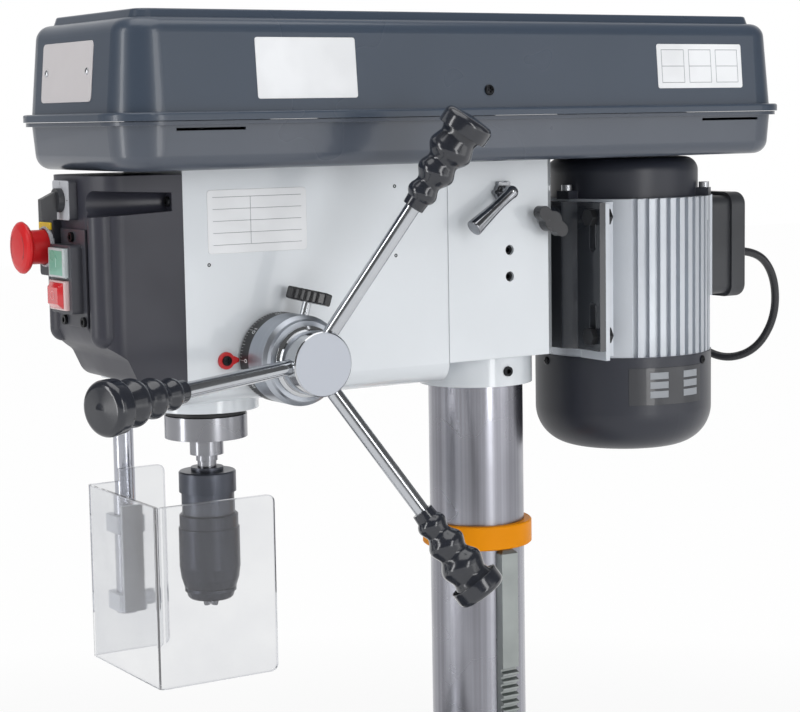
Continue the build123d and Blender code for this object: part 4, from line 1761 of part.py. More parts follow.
def table_crank():
    """Crank with its worm shaft in the gearbox, a flat arm and a round grip."""
    worm_start = COLUMN_R + 4 * FREE_GAP + RACK_T + 1
    shaft = rod((worm_start, COLUMN_Y, WORM_Z), (CRANK_X + CRANK_ARM_T, COLUMN_Y, WORM_Z), WORM_R)
    angle = math.radians(CRANK_ANGLE)
    y = COLUMN_Y - CRANK_ARM * math.cos(angle)
    z = WORM_Z + CRANK_ARM * math.sin(angle)
    sketch = SlotCenterToCenter(CRANK_ARM, CRANK_ARM_W)
    middle = (CRANK_X, (COLUMN_Y + y) / 2, (WORM_Z + z) / 2)
    plane = Plane(origin=middle, x_dir=(0, y - COLUMN_Y, z - WORM_Z), z_dir=(1, 0, 0))
    arm = extrude(plane.location * sketch, CRANK_ARM_T).solid()
    x0 = CRANK_X + CRANK_ARM_T
    grip = rod((x0, y, z), (x0 + CRANK_GRIP_L, y, z), CRANK_GRIP_R)
    ends = [e for e in grip.edges() if e.geom_type == GeomType.CIRCLE]
    grip = fillet(ends, 3).solid()
    return joined(shaft, arm, grip)


def table_clamp():
    """Clamp screw through the bracket's lugs with a ball-ended lever."""
    start = -CLASP_LUG_HALF - CLAMP_HUB_L
    screw = rod((start, CLAMP_Y, CLAMP_Z), (CLASP_LUG_HALF + 6, CLAMP_Y, CLAMP_Z), CLAMP_BOLT_R)
    hub = rod((start, CLAMP_Y, CLAMP_Z), (-CLASP_LUG_HALF - FREE_GAP, CLAMP_Y, CLAMP_Z), CLAMP_HUB_R)
    nut = rod((CLASP_LUG_HALF + FREE_GAP, CLAMP_Y, CLAMP_Z), (CLASP_LUG_HALF + 6, CLAMP_Y, CLAMP_Z),
              CLAMP_HUB_R)
    x = start + CLAMP_HUB_L / 2
    end = (x - 14, CLAMP_Y + CLAMP_ARM_L, CLAMP_Z)
    arm = rod((x, CLAMP_Y, CLAMP_Z), end, CLAMP_ARM_R)
    ball = (Pos(*end) * Sphere(CLAMP_BALL_R)).solid()
    return joined(screw, hub, nut, arm, ball)


os.makedirs("parts", exist_ok=True)
write("base", base())
write("column_foot", column_foot())
write("bolts_and_pins", *bolts_and_pins())
write("column", column())
write("rack_ring", rack_ring())
write("head_casting", head_casting())
write("socket_screws", *socket_screws())
write("belt_pan", belt_pan())
write("belt_lid", belt_lid())
write("control_box", control_box())
write("control_plate", *control_plate())
write("start_button", push_button(0))
write("stop_button", push_button(1))
write("estop_button", estop_button())
write("selector_knob", selector_knob())
write("depth_pointer", depth_pointer())
write("spring_cup", spring_cup())
write("return_spring", return_spring())
write("pulley_bearings", *pulley_bearings())
write("idler_arm", idler_arm())
write("spindle_pulley", Pos(0, 0, 0) * stepped_pulley(True, PULLEY_LOW, SPLINE_R + RUN_FIT, SLEEVE_TUBE_R,
                                                      BEARING_SEAT_LOW + 1))
write("idler_pulley", Pos(0, IDLER_Y, 0) * stepped_pulley(False, PULLEY_LOW, IDLER_POST_R + RUN_FIT))
write("motor_pulley", Pos(0, MOTOR_Y, 0) * stepped_pulley(True, PULLEY_LOW, SHAFT_R))
write("spindle_belt", v_belt(0, step_radius(True, SPINDLE_BELT_STEP), IDLER_Y,
                             step_radius(False, SPINDLE_BELT_STEP), SPINDLE_BELT_STEP))
write("motor_belt", v_belt(IDLER_Y, step_radius(False, MOTOR_BELT_STEP), MOTOR_Y,
                           step_radius(True, MOTOR_BELT_STEP), MOTOR_BELT_STEP))
write("quill", quill())
write("quill_bearings", *quill_bearings())
write("spindle", spindle())
write("chuck_body", chuck_body())
write("chuck_sleeve", chuck_sleeve())
for number, jaw_angle in enumerate(JAW_ANGLES, 1):
    write(f"chuck_jaw_{number}", chuck_jaw(jaw_angle))
write("feed_shaft", feed_shaft())
write("feed_hub", feed_hub())
write("feed_rods", *[feed_rod(a) for a in handle_angles()])
write("feed_grips", *[feed_grip(a) for a in handle_angles()])
write("depth_ring", depth_ring())
write("depth_lock", depth_lock())
write("guard_rod", guard_rod())
write("guard_clamp", guard_clamp())
write("guard_shield", guard_shield())
write("motor_bracket", motor_bracket())
write("motor_bolts", *motor_bolts())
write("motor_body", motor_body())
write("motor_end_bell", motor_end_bell())
write("fan_cover", fan_cover())
write("terminal_box", *terminal_box())
write("motor_cable", motor_cable())
write("motor_shaft", motor_shaft())
write("cooling_fan", cooling_fan())
write("tension_lever", tension_lever())
write("slide_lock", slide_lock())
write("rack", rack())
write("table_bracket", table_bracket())
write("lift_gear", lift_gear())
write("table_crank", table_crank())
write("table_clamp", table_clamp())
write("table", table())
print("cable bend radii", [round(r, 1) for r in cable_radii()])
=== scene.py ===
import bmesh
import bpy
import math
from mathutils import Matrix, Vector


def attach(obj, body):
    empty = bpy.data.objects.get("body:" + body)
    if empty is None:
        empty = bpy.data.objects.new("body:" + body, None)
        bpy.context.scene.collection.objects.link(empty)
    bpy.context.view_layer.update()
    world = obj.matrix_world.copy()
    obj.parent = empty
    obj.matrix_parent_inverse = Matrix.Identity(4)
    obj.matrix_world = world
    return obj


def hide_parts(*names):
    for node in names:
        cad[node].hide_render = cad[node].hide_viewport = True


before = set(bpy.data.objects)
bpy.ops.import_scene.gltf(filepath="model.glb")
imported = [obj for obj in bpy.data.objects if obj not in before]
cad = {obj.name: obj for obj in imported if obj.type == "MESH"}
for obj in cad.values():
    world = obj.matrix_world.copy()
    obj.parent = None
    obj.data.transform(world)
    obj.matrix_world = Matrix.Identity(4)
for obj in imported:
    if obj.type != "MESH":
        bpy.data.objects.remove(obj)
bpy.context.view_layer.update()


# Base plate and column foot: grey iron castings under slate enamel, the base ground bright on top.
# The foot is held down with zinc-plated hex bolts, and the base goes to the bench at its corners.
def paint(red, green, blue):
    """A paint chart value, 0 to 255 each, as the linear colour that a shader takes."""
    shares = [value / 255 for value in (red, green, blue)]
    return (*(s / 12.92 if s < 0.04045 else ((s + 0.055) / 1.055) ** 2.4 for s in shares), 1.0)


def darker(colour, share):
    """A colour that gives back only a share of its light."""
    return tuple(v * share for v in colour[:3]) + (1.0,)


def effect(name, inputs, outputs):
    """An empty surface effect, its inputs with their usual values, and its two end nodes."""
    group = bpy.data.node_groups.new(name, "ShaderNodeTree")
    for label, value in inputs.items():
        kind = "NodeSocketVector" if isinstance(value, tuple) else "NodeSocketFloat"
        group.interface.new_socket(label, in_out="INPUT", socket_type=kind).default_value = value
    for label in outputs:
        kind = "NodeSocketVector" if label == "Normal" else "NodeSocketFloat"
        group.interface.new_socket(label, in_out="OUTPUT", socket_type=kind)
    return group, group.nodes.new("NodeGroupInput"), group.nodes.new("NodeGroupOutput")


def add(tree, kind, inputs=None, **settings):
    """A node in a tree with its settings; each input takes a plain value or the socket that feeds it."""
    node = tree.nodes.new(kind)
    for label, value in settings.items():
        setattr(node, label, value)
    for label, value in (inputs or {}).items():
        if isinstance(value, bpy.types.NodeSocket):
            tree.links.new(value, node.inputs[label])
        else:
            node.inputs[label].default_value = value
    return node


def own_place(tree):
    """The piece's own coordinates."""
    return add(tree, "ShaderNodeTexCoord").outputs["Object"]


def vector(tree, operation, first, second=(0, 0, 0)):
    """A vector, or the number that it comes to, worked out from one or two others."""
    node = add(tree, "ShaderNodeVectorMath", {0: first, 1: second}, operation=operation)
    return node.outputs["Value" if operation in ("DOT_PRODUCT", "LENGTH") else "Vector"]


def stretched(tree, value, low, high, to_low=0.0, to_high=1.0):
    """A value from low..high brought to to_low..to_high and held at its ends."""
    ends = {"From Min": low, "From Max": high, "To Min": to_low, "To Max": to_high}
    return add(tree, "ShaderNodeMapRange", {"Value": value, **ends}).outputs["Result"]


def between(tree, share, none, full):
    """A value that goes from none to full with the share."""
    return stretched(tree, share, 0.0, 1.0, none, full)


def blended(tree, share, first, second):
    """A colour that goes from the first to the second with the share."""
    return add(tree, "ShaderNodeMix", {0: share, 6: first, 7: second}, data_type="RGBA").outputs[2]


def above(tree, axis, height, width=0.0002):
    """1 where the piece's own coordinate on an axis is over a height, else 0."""
    parts = add(tree, "ShaderNodeSeparateXYZ", {0: own_place(tree)})
    return stretched(tree, parts.outputs[axis], height - width, height + width)


# A sprayed or moulded skin: fine peel and a slow drift of tone.
skin, skin_in, skin_out = effect("sprayed_skin", {"Peel": 260.0, "Drift": 7.0}, ("Height", "Tone"))
spot = own_place(skin)
peel, drift = skin_in.outputs["Peel"], skin_in.outputs["Drift"]
peel_noise = add(skin, "ShaderNodeTexNoise", {"Detail": 2.0, "Vector": spot, "Scale": peel})
drift_noise = add(skin, "ShaderNodeTexNoise", {"Detail": 3.0, "Vector": spot, "Scale": drift})
skin.links.new(peel_noise.outputs["Fac"], skin_out.inputs["Height"])
skin.links.new(stretched(skin, drift_noise.outputs["Fac"], 0.35, 0.65), skin_out.inputs["Tone"])

# Broken edges: a small round on every sharp edge, and a mask along it that the finishes use to lighten their
# edges, partly as wear and partly as a painted highlight.
edges, edges_in, edges_out = effect("broken_edges", {"Radius": 0.0008}, ("Normal", "Rub"))
eased = add(edges, "ShaderNodeBevel", {"Radius": edges_in.outputs["Radius"]}, samples=4).outputs["Normal"]
plain = add(edges, "ShaderNodeNewGeometry").outputs["Normal"]
edges.links.new(eased, edges_out.inputs["Normal"])
edge_mask = stretched(edges, vector(edges, "DOT_PRODUCT", eased, plain), 0.98, 0.75)
edges.links.new(edge_mask, edges_out.inputs["Rub"])


def finish(name, roughness, metallic=0.0, coat=0.0):
    """A new finish and its shader, with the values that are the same all over it."""
    material = bpy.data.materials.new(name)
    material.use_nodes = True
    shader = material.node_tree.nodes["Principled BSDF"]
    shader.inputs["Roughness"].default_value = roughness
    shader.inputs["Metallic"].default_value = metallic
    shader.inputs["Coat Weight"].default_value = coat
    shader.inputs["Coat Roughness"].default_value = 0.05
    return material, shader


def laid(material, group, **values):
    """A surface effect put into a finish with its own values."""
    return add(material.node_tree, "ShaderNodeGroup", values, node_tree=group)


def embossed(material, shader, height, depth, strength, base):
    """Height of a surface effect as a bump on top of the broken edges."""
    tree = material.node_tree
    bump = add(tree, "ShaderNodeBump",
               {"Strength": strength, "Distance": depth, "Height": height, "Normal": base})
    tree.links.new(bump.outputs["Normal"], shader.inputs["Normal"])


BARE_IRON = paint(150, 152, 155)
SLATE = paint(82, 91, 103)
# A lighter slate for the edges: part wear, part painted highlight.
SLATE_WEAR_AND_HIGHLIGHT = paint(118, 124, 132)
GROUND_DEPTH = 0.0003


def enamel(name, colour, edge_wear_and_highlight, roughness, peel=260.0, depth=0.00006, coat=0.4, ground=None):
    """Sprayed enamel, lighter along its edges as wear and as a painted highlight; over the ground height it
    is bare iron.
    """
    material, shader = finish(name, roughness, coat=coat)
    tree = material.node_tree
    sprayed = laid(material, skin, Peel=peel)
    edge = laid(material, edges)
    toned = blended(tree, sprayed.outputs["Tone"], colour, darker(colour, 0.94))
    # Edges made lighter: part wear, part painted highlight.
    highlit_wear = blended(tree, between(tree, edge.outputs["Rub"], 0.0, 0.35), toned, edge_wear_and_highlight)
    if ground is None:
        rough = between(tree, sprayed.outputs["Tone"], roughness * 0.85, roughness * 1.2)
    else:
        bare = above(tree, "Z", ground)
        highlit_wear = blended(tree, bare, highlit_wear, BARE_IRON)
        rough = between(tree, bare, roughness, 0.34)
        tree.links.new(bare, shader.inputs["Metallic"])
        tree.links.new(between(tree, bare, coat, 0.0), shader.inputs["Coat Weight"])
    tree.links.new(highlit_wear, shader.inputs["Base Color"])
    tree.links.new(rough, shader.inputs["Roughness"])
    embossed(material, shader, sprayed.outputs["Height"], depth, 0.6, edge.outputs["Normal"])
    return material


def dress(material, *names):
    """Puts a finish on CAD nodes."""
    for name in names:
        for slot in cad[name].material_slots:
            slot.material = material


def casting(name, node, roughness, ground_top=False):
    """A slate casting with a coarse skin, its top face ground bare if asked."""
    ground = max(vert.co.z for vert in cad[node].data.vertices) - GROUND_DEPTH if ground_top else None
    dress(enamel(name, SLATE, SLATE_WEAR_AND_HIGHLIGHT, roughness, peel=150.0, depth=0.00015, ground=ground), node)


casting("base_enamel", "base", 0.36, ground_top=True)
casting("foot_enamel", "column_foot", 0.38)


# Fasteners: zinc-plated hex bolts and hinge pins, and blackened socket screws in the head.
# Plating is a thin bright coat with a faint cloudiness; blackening is a matt oxide over oil.
ZINC = paint(186, 188, 192)


def brighter(colour, gain, lift=0.0):
    """A colour that gives back more light, up to white."""
    return tuple(min(1.0, v * gain + lift) for v in colour[:3]) + (1.0,)


def metal(name, colour, roughness, peel=500.0, cloud=0.92, depth=0.00003, drift=25.0, metallic=1.0,
          plated=None):
    """Bright or dark metal with a cloudy tone and a fine tooth; over the plated height it is bright zinc."""
    material, shader = finish(name, roughness, metallic)
    tree = material.node_tree
    sprayed = laid(material, skin, Peel=peel, Drift=drift)
    edge = laid(material, edges, Radius=0.0005)
    toned = blended(tree, sprayed.outputs["Tone"], colour, darker(colour, cloud))
    if plated is not None:
        toned = blended(tree, above(tree, "Z", plated), toned, ZINC)
    # Edges made brighter: part wear, part painted highlight.
    highlit_wear = blended(tree, between(tree, edge.outputs["Rub"], 0.0, 0.5), toned, brighter(colour, 1.35))
    rough = between(tree, sprayed.outputs["Tone"], roughness * 0.8, roughness * 1.25)
    tree.links.new(highlit_wear, shader.inputs["Base Color"])
    tree.links.new(rough, shader.inputs["Roughness"])
    embossed(material, shader, sprayed.outputs["Height"], depth, 0.5, edge.outputs["Normal"])
    return material


zinc = metal("zinc_plate", ZINC, 0.3)
black_oxide = metal("black_oxide", paint(40, 41, 44), 0.42, metallic=0.8)
dress(zinc, "bolts_and_pins")
dress(black_oxide, "socket_screws")


# Column: a thick steel tube, centreless ground, so fine rings run round it and faint streaks up it.
# The orange ring on it is moulded plastic, and the rack under the ring is zinc-plated steel.
ORIGIN_Y = 110


def at(x, y, z):
    """A place given in millimetres from the spindle's axis and the bench, as a point of the frame."""
    return Vector((x / 1000, (y - ORIGIN_Y) / 1000, z / 1000))


# Turned lines: fine rings round an axis, as a lathe or a grinding wheel leaves them.
turned_fx, turned_in, turned_out = effect(
    "turned_lines", {"Centre": (0, 0, 0), "Axis": (0, 0, 1), "Lines": 1500.0}, ("Height", "Tone"))
axis = turned_in.outputs["Axis"]
offset = vector(turned_fx, "SUBTRACT", own_place(turned_fx), turned_in.outputs["Centre"])
along = vector(turned_fx, "DOT_PRODUCT", offset, axis)
on_axis = add(turned_fx, "ShaderNodeVectorMath", {0: axis, "Scale": along}, operation="SCALE")
reach = vector(turned_fx, "LENGTH", vector(turned_fx, "SUBTRACT", offset, on_axis.outputs["Vector"]))
cut_place = add(turned_fx, "ShaderNodeCombineXYZ", {0: along, 1: reach}).outputs["Vector"]
fine_cut = add(turned_fx, "ShaderNodeTexNoise",
               {"Detail": 3.0, "Vector": cut_place, "Scale": turned_in.outputs["Lines"]})
wide_cut = add(turned_fx, "ShaderNodeTexNoise", {"Scale": 110.0, "Detail": 2.0, "Vector": cut_place})
turned_fx.links.new(fine_cut.outputs["Fac"], turned_out.inputs["Height"])
turned_fx.links.new(stretched(turned_fx, wide_cut.outputs["Fac"], 0.3, 0.7), turned_out.inputs["Tone"])

# Drawn lines: long streaks that run up a tube and change round it.
drawn_fx, drawn_in, drawn_out = effect("drawn_lines", {"Centre": (0, 0, 0), "Count": 3.6}, ("Tone",))
offset = vector(drawn_fx, "SUBTRACT", own_place(drawn_fx), drawn_in.outputs["Centre"])
bearing = vector(drawn_fx, "NORMALIZE", vector(drawn_fx, "MULTIPLY", offset, (1, 1, 0)))
slow_rise = vector(drawn_fx, "MULTIPLY", offset, (0, 0, 0.15))
streaks = add(drawn_fx, "ShaderNodeTexNoise",
              {"Detail": 3.0, "Roughness": 0.6, "Vector": vector(drawn_fx, "ADD", bearing, slow_rise),
               "Scale": drawn_in.outputs["Count"]})
drawn_fx.links.new(stretched(drawn_fx, streaks.outputs["Fac"], 0.36, 0.64), drawn_out.inputs["Tone"])


def lathe_steel(name, colour, roughness, centre, axis, lines=1500.0, depth=0.00002, cloud=0.85, metallic=1.0,
                drawn=None):
    """Steel with the fine rings of turning round an axis; drawn is the tone of streaks along it."""
    material, shader = finish(name, roughness, metallic)
    tree = material.node_tree
    rings = laid(material, turned_fx, Centre=centre, Axis=axis, Lines=lines)
    hands = laid(material, skin, Peel=40.0, Drift=14.0)
    edge = laid(material, edges, Radius=0.0004)
    ringed = blended(tree, rings.outputs["Tone"], colour, darker(colour, cloud))
    toned = blended(tree, between(tree, hands.outputs["Tone"], 0.0, 0.3), ringed, darker(colour, 0.8))
    if drawn is not None:
        toned = blended(tree, laid(material, drawn_fx, Centre=centre).outputs["Tone"], toned, drawn)
    rough = between(tree, hands.outputs["Tone"], roughness * 0.8, roughness * 1.3)
    tree.links.new(toned, shader.inputs["Base Color"])
    tree.links.new(rough, shader.inputs["Roughness"])
    embossed(material, shader, rings.outputs["Height"], depth, 0.5, edge.outputs["Normal"])
    return material


def moulded(name, colour, roughness, grain=900.0, depth=0.00004, coat=0.0, edge_wear_and_highlight=1.25, shine=0.5):
    """Moulded plastic with a fine grain, a slow tone, and edges made lighter, partly as polish from use and
    partly as a painted highlight.
    """
    material, shader = finish(name, roughness, coat=coat)
    shader.inputs["Specular IOR Level"].default_value = shine
    tree = material.node_tree
    sprayed = laid(material, skin, Peel=grain, Drift=18.0)
    edge = laid(material, edges, Radius=0.0007)
    toned = blended(tree, sprayed.outputs["Tone"], colour, darker(colour, 0.9))
    # Edges made lighter: part polish from use, part painted highlight.
    highlit_wear = blended(tree, between(tree, edge.outputs["Rub"], 0.0, 0.5), toned, brighter(colour, edge_wear_and_highlight, 0.004))
    rough = between(tree, sprayed.outputs["Tone"], roughness * 0.85, roughness * 1.15)
    tree.links.new(highlit_wear, shader.inputs["Base Color"])
    tree.links.new(rough, shader.inputs["Roughness"])
    embossed(material, shader, sprayed.outputs["Height"], depth, 0.5, edge.outputs["Normal"])
    return material


COLUMN_AXIS = at(0, 255, 0)
UPRIGHT = (0, 0, 1)
dress(lathe_steel("column_steel", paint(168, 169, 177), 0.27, COLUMN_AXIS, UPRIGHT, lines=900.0,
                  depth=0.00001, cloud=0.97, drawn=paint(130, 130, 137)), "column")
dress(moulded("ring_orange", paint(226, 140, 2), 0.5, shine=0.12), "rack_ring")
dress(metal("rack_zinc", paint(158, 163, 162), 0.4), "rack")


# Table, its bracket and lift: iron castings with a ground table face, and steel screws and gears.
# The crank turns a worm in the bracket's gearbox; it and the clamp's screw are plated steel.
LIFT_AXIS = at(61.2, 255, 320)
casting("table_enamel", "table", 0.36, ground_top=True)
casting("bracket_enamel", "table_bracket", 0.38)
dress(lathe_steel("gear_steel", paint(150, 152, 156), 0.32, LIFT_AXIS, (0, 1, 0)), "lift_gear")
dress(zinc, "table_clamp")
dress(metal("crank_plate", paint(180, 182, 186), 0.26), "table_crank")


# Head: one iron casting under white gloss enamel, which pools a little and shows a soft peel.
# Three black set screws in its side hold it on the column, and a blank rating plate is stuck on that side.
dress(enamel("head_white", paint(214, 219, 224), paint(228, 231, 234), 0.2, peel=120.0, depth=0.00009,
             coat=0.6), "head_casting")
OUTSIDE = 400
SHARP_ANGLE = math.radians(33)
INK_LEVEL = 0.00028
INK_THICK = 0.00008
INK_EASE = 0.00003


def placed(side, up, out, point):
    """A frame from its three directions and its place."""
    place = Matrix((side, up, out)).transposed().to_4x4()
    place.translation = point
    return place


def seat(node, start, way):
    """Where a straight line from a place meets a CAD node, and a frame on it: along, up and out."""
    hit, point, out, _ = cad[node].ray_cast(start, Vector(way))
    if not hit:
        raise ValueError(f"nothing of {node} at {tuple(start)}")
    up = Vector((0, 0, 1)) if abs(out.z) < 0.9 else Vector((0, 1, 0))
    up = (up - out * up.dot(out)).normalized()
    return placed(up.cross(out), up, out, point)


def right_side(node, y, z):
    """A seat on a CAD node's right side, met level from outside."""
    return seat(node, at(OUTSIDE, y, z), (-1, 0, 0))


def rounded(width, height, corner, steps=6):
    """Outline of a rectangle with round corners, about its middle."""
    points = []
    for quarter, (sx, sy) in enumerate(((1, 1), (-1, 1), (-1, -1), (1, -1))):
        for step in range(steps + 1):
            angle = math.pi / 2 * (quarter + step / steps)
            points.append((sx * (width / 2 - corner) + corner * math.cos(angle),
                           sy * (height / 2 - corner) + corner * math.sin(angle)))
    return points


def spokes(steps):
    """Directions round a circle."""
    return [(math.cos(2 * math.pi * i / steps), math.sin(2 * math.pi * i / steps)) for i in range(steps)]


def skinned(mesh, loops, closed=True):
    """Bridges rings of points of one count into a skin, and closes its ends."""
    rings = [[mesh.verts.new(point) for point in loop] for loop in loops]
    count = len(rings[0])
    for first, second in zip(rings, rings[1:]):
        for i in range(count):
            mesh.faces.new((first[i], first[(i + 1) % count], second[(i + 1) % count], second[i]))
    if closed:
        mesh.faces.new(rings[0][::-1])
        mesh.faces.new(rings[-1])


def slab(mesh, place, width, height, corner, low, high, ease, shift=(0, 0)):
    """A flat slab with round corners and an eased front edge, in a frame of its own."""
    loops = []
    for inset, level in ((0, low), (0, high - ease), (ease, high)):
        outline = rounded(width - 2 * inset, height - 2 * inset, max(corner - inset, 0.00005))
        loops.append([place @ Vector((u + shift[0], v + shift[1], level)) for u, v in outline])
    skinned(mesh, loops)


def lathed(mesh, place, profile, steps, ring=False):
    """A form turned about its frame's outward axis from radius and height pairs; a ring stays open inside."""
    loops = [[place @ Vector((r * u, r * v, h)) for u, v in spokes(steps)] for r, h in profile]
    if ring:
        skinned(mesh, loops + loops[:1], closed=False)
        bmesh.ops.remove_doubles(mesh, verts=mesh.verts, dist=1e-7)
    else:
        skinned(mesh, loops)


def piece(name, mesh, material, body):
    """A finished mesh as a piece that rides on a body and takes its finish from a slot."""
    bmesh.ops.recalc_face_normals(mesh, faces=mesh.faces)
    data = bpy.data.meshes.new(name)
    mesh.to_mesh(data)
    mesh.free()
    data.polygons.foreach_set("use_smooth", [True] * len(data.polygons))
    data.set_sharp_from_angle(angle=SHARP_ANGLE)
    data.materials.append(material)
    shown = bpy.data.objects.new(name, data)
    bpy.context.scene.collection.objects.link(shown)
    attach(shown, body)


def plate(name, place, material, body, size, levels, shift=(0, 0)):
    """A flat plate as a piece: its width, height and corner, then its low and high face and eased edge."""
    mesh = bmesh.new()
    slab(mesh, place, *size, *levels, shift)
    piece(name, mesh, material, body)


def bars(name, place, material, body, sizes, level):
    """Thin printed bars on a plate as one piece: each has its middle, width and height."""
    mesh = bmesh.new()
    for u, v, width, height in sizes:
        corner = min(width, height) * 0.2
        slab(mesh, place, width, height, corner, level, level + INK_THICK, INK_EASE, (u, v))
    piece(name, mesh, material, body)


def turned_piece(name, place, material, body, profile, steps, ring=False):
    """A turned form as a piece."""
    mesh = bmesh.new()
    lathed(mesh, place, profile, steps, ring)
    piece(name, mesh, material, body)


label_film = moulded("label_film", paint(232, 234, 237), 0.22, grain=300.0, depth=0.000002, coat=0.3)
label_ink = moulded("label_ink", paint(150, 155, 162), 0.4, grain=300.0, depth=0.00001)
FILM = (-0.0001, 0.0003, 0.0001)
RULE = 0.0004
RULE_LONG = 0.076
RULE_TOP = 0.0185
RULE_STEP = 0.009
RULE_COUNT = 5
DIVIDER = (-0.006, 0.0005, RULE, 0.036)
rating = right_side("head_casting", y=22.5, z=903)
plate("rating_plate", rating, label_film, "frame", size=(0.085, 0.048, 0.003), levels=FILM)
rules = [(0, RULE_TOP - RULE_STEP * row, RULE_LONG, RULE) for row in range(RULE_COUNT)]
bars("rating_rules", rating, label_ink, "frame", sizes=rules + [DIVIDER], level=INK_LEVEL)
pin_black = moulded("pin_black", paint(46, 48, 51), 0.5)
PIN_PROFILE = [(0.0015, -0.0005), (0.0015, 0.0001), (0.0011, 0.0002), (0.0007, 0.0001), (0.0003, -0.0001)]
PIN_PLACES = ((145.4, 924.9), (145.7, 870.1), (-19.5, 871.0))
for number, (y, z) in enumerate(PIN_PLACES, 1):
    turned_piece(f"head_pin_{number}", right_side("head_casting", y, z), pin_black, "frame",
                 PIN_PROFILE, steps=24)


# Control box: charcoal ABS, injection moulded with a fine grain and screwed to the head's front.
# Its plate, push-button housing and selector base are separate mouldings; the selector has a pale face.
def front_side(node, x, z):
    """A seat on a CAD node's front, met level from outside."""
    return seat(node, at(x, -OUTSIDE, z), (0, 1, 0))


dress(moulded("box_charcoal", paint(48, 49, 59), 0.42, grain=700.0, depth=0.00005), "control_box")
plate_grey = moulded("plate_charcoal", paint(66, 67, 74), 0.4, grain=700.0, depth=0.00004)
dress(plate_grey, "control_plate")
face_grey = moulded("selector_face", paint(178, 180, 186), 0.42, grain=800.0)
PLATE_BARE_X, PLATE_BARE_Z = 11, 911
SELECTOR_Z = 921.7
SELECTOR_SIDE = 0.0292
MARK_OUT, MARK_LONG, MARK_WIDE, MARK_LEVEL = 0.0124, 0.003, 0.0006, 0.00085
selector_place = front_side("control_plate", PLATE_BARE_X, PLATE_BARE_Z)
selector_place.translation = Vector((0, selector_place.translation.y, SELECTOR_Z / 1000))
plate("selector_face", selector_place, face_grey, "frame",
      size=(SELECTOR_SIDE, SELECTOR_SIDE, 0.002), levels=(-0.0001, 0.0009, 0.0003))
marks = [(0, MARK_OUT, MARK_WIDE, MARK_LONG)] + [(u, 0, MARK_LONG, MARK_WIDE) for u in (-MARK_OUT, MARK_OUT)]
bars("selector_marks", selector_place, plate_grey, "frame", sizes=marks, level=MARK_LEVEL)
dress(moulded("knob_black", paint(52, 53, 57), 0.34), "selector_knob")


# Emergency stop: a red nylon mushroom on a thick stem, with a grey ring at its foot and a yellow tab over it.
# Two arrows show which way it turns to release, and its stem sits in the control box's pad.
def facing_front(x, y, z):
    """A frame that looks out to the operator from a place in millimetres."""
    return Matrix.Translation(at(x, y, z)) @ Matrix.Rotation(math.radians(90), 4, "X")


dress(moulded("signal_red", paint(202, 22, 28), 0.36, grain=500.0, depth=0.00002, shine=0.35), "estop_button")
MUSHROOM_FOOT = (-31, -115, 885.7)
RING_PROFILE = [(0.0134, -0.0005), (0.0134, 0.0021), (0.0142, 0.0026), (0.0152, 0.0021), (0.0156, 0.0008),
                (0.0156, -0.0005)]
stop_place = facing_front(*MUSHROOM_FOOT)
turned_piece("stop_ring", stop_place, face_grey, "frame", RING_PROFILE, steps=64,
             ring=True)
tab_yellow = moulded("tab_yellow", paint(238, 204, 28), 0.4)
plate("stop_tab", stop_place, tab_yellow, "frame", size=(0.023, 0.0054, 0.001),
      levels=(-0.0002, 0.0012, 0.0003), shift=(0, 0.0158))
RAY_START = 0.1
ARROW_R = 0.0128
ARROW_HALF = 0.00045
ARROW_SWEEP = 84
ARROW_HEAD = 0.2
ARROW_SPREAD = 3
ARROW_TIP = 0.00005
ARROW_STEPS = 24
ARROW_LOW, ARROW_PROUD = -0.0001, 0.00008


def on_mushroom(radius, angle, lift):
    """A place on the mushroom's crown, from its own axis, lifted off the crown a little."""
    start = stop_place @ Vector((radius * math.cos(angle), radius * math.sin(angle), RAY_START))
    crown = cad["estop_button"].ray_cast(start, Vector((0, 1, 0)))[1]
    return crown - Vector((0, lift, 0))


mesh = bmesh.new()
for turned in (0, math.pi):
    loops = []
    for step in range(ARROW_STEPS + 1):
        left = 1 - step / ARROW_STEPS
        spread = max(ARROW_TIP, ARROW_HALF * ARROW_SPREAD * left / ARROW_HEAD)
        half = ARROW_HALF if left > ARROW_HEAD else spread
        angle = turned + math.radians(ARROW_SWEEP * (left - 0.5))
        corners = ((-half, ARROW_LOW), (-half, ARROW_PROUD), (half, ARROW_PROUD), (half, ARROW_LOW))
        loops.append([on_mushroom(ARROW_R + off, angle, lift) for off, lift in corners])
    skinned(mesh, loops)
piece("stop_arrows", mesh, moulded("arrow_red", paint(150, 14, 20), 0.4), "estop_button")


# Push buttons: a flat pale green face for start and a proud red cap with bevelled sides for stop.
# Each has a lighter rim round its face, and carries its plain bar or ring.
SOFT_EDGE = 0.0001


def framed(name, colour, frame_colour, middle, half_wide, half_high):
    """A push face in its colour with a lighter frame round it, told apart by place."""
    material, shader = finish(name, 0.32, coat=0.3)
    tree = material.node_tree
    parts = add(tree, "ShaderNodeSeparateXYZ", {0: own_place(tree)})
    rims = []
    for axis, centre, half in (("X", middle.x, half_wide), ("Z", middle.z, half_high)):
        away = add(tree, "ShaderNodeMath", {0: parts.outputs[axis], 1: centre}, operation="SUBTRACT")
        size = add(tree, "ShaderNodeMath", {0: away.outputs[0]}, operation="ABSOLUTE")
        rims.append(stretched(tree, size.outputs[0], half - SOFT_EDGE, half + SOFT_EDGE))
    rim = add(tree, "ShaderNodeMath", {0: rims[0], 1: rims[1]}, operation="MAXIMUM").outputs[0]
    sprayed = laid(material, skin, Peel=600.0, Drift=40.0)
    edge = laid(material, edges, Radius=0.0006)
    toned = blended(tree, sprayed.outputs["Tone"], colour, darker(colour, 0.9))
    tree.links.new(blended(tree, rim, toned, frame_colour), shader.inputs["Base Color"])
    tree.links.new(between(tree, sprayed.outputs["Tone"], 0.26, 0.4), shader.inputs["Roughness"])
    embossed(material, shader, rim, 0.0003, 0.5, edge.outputs["Normal"])
    return material


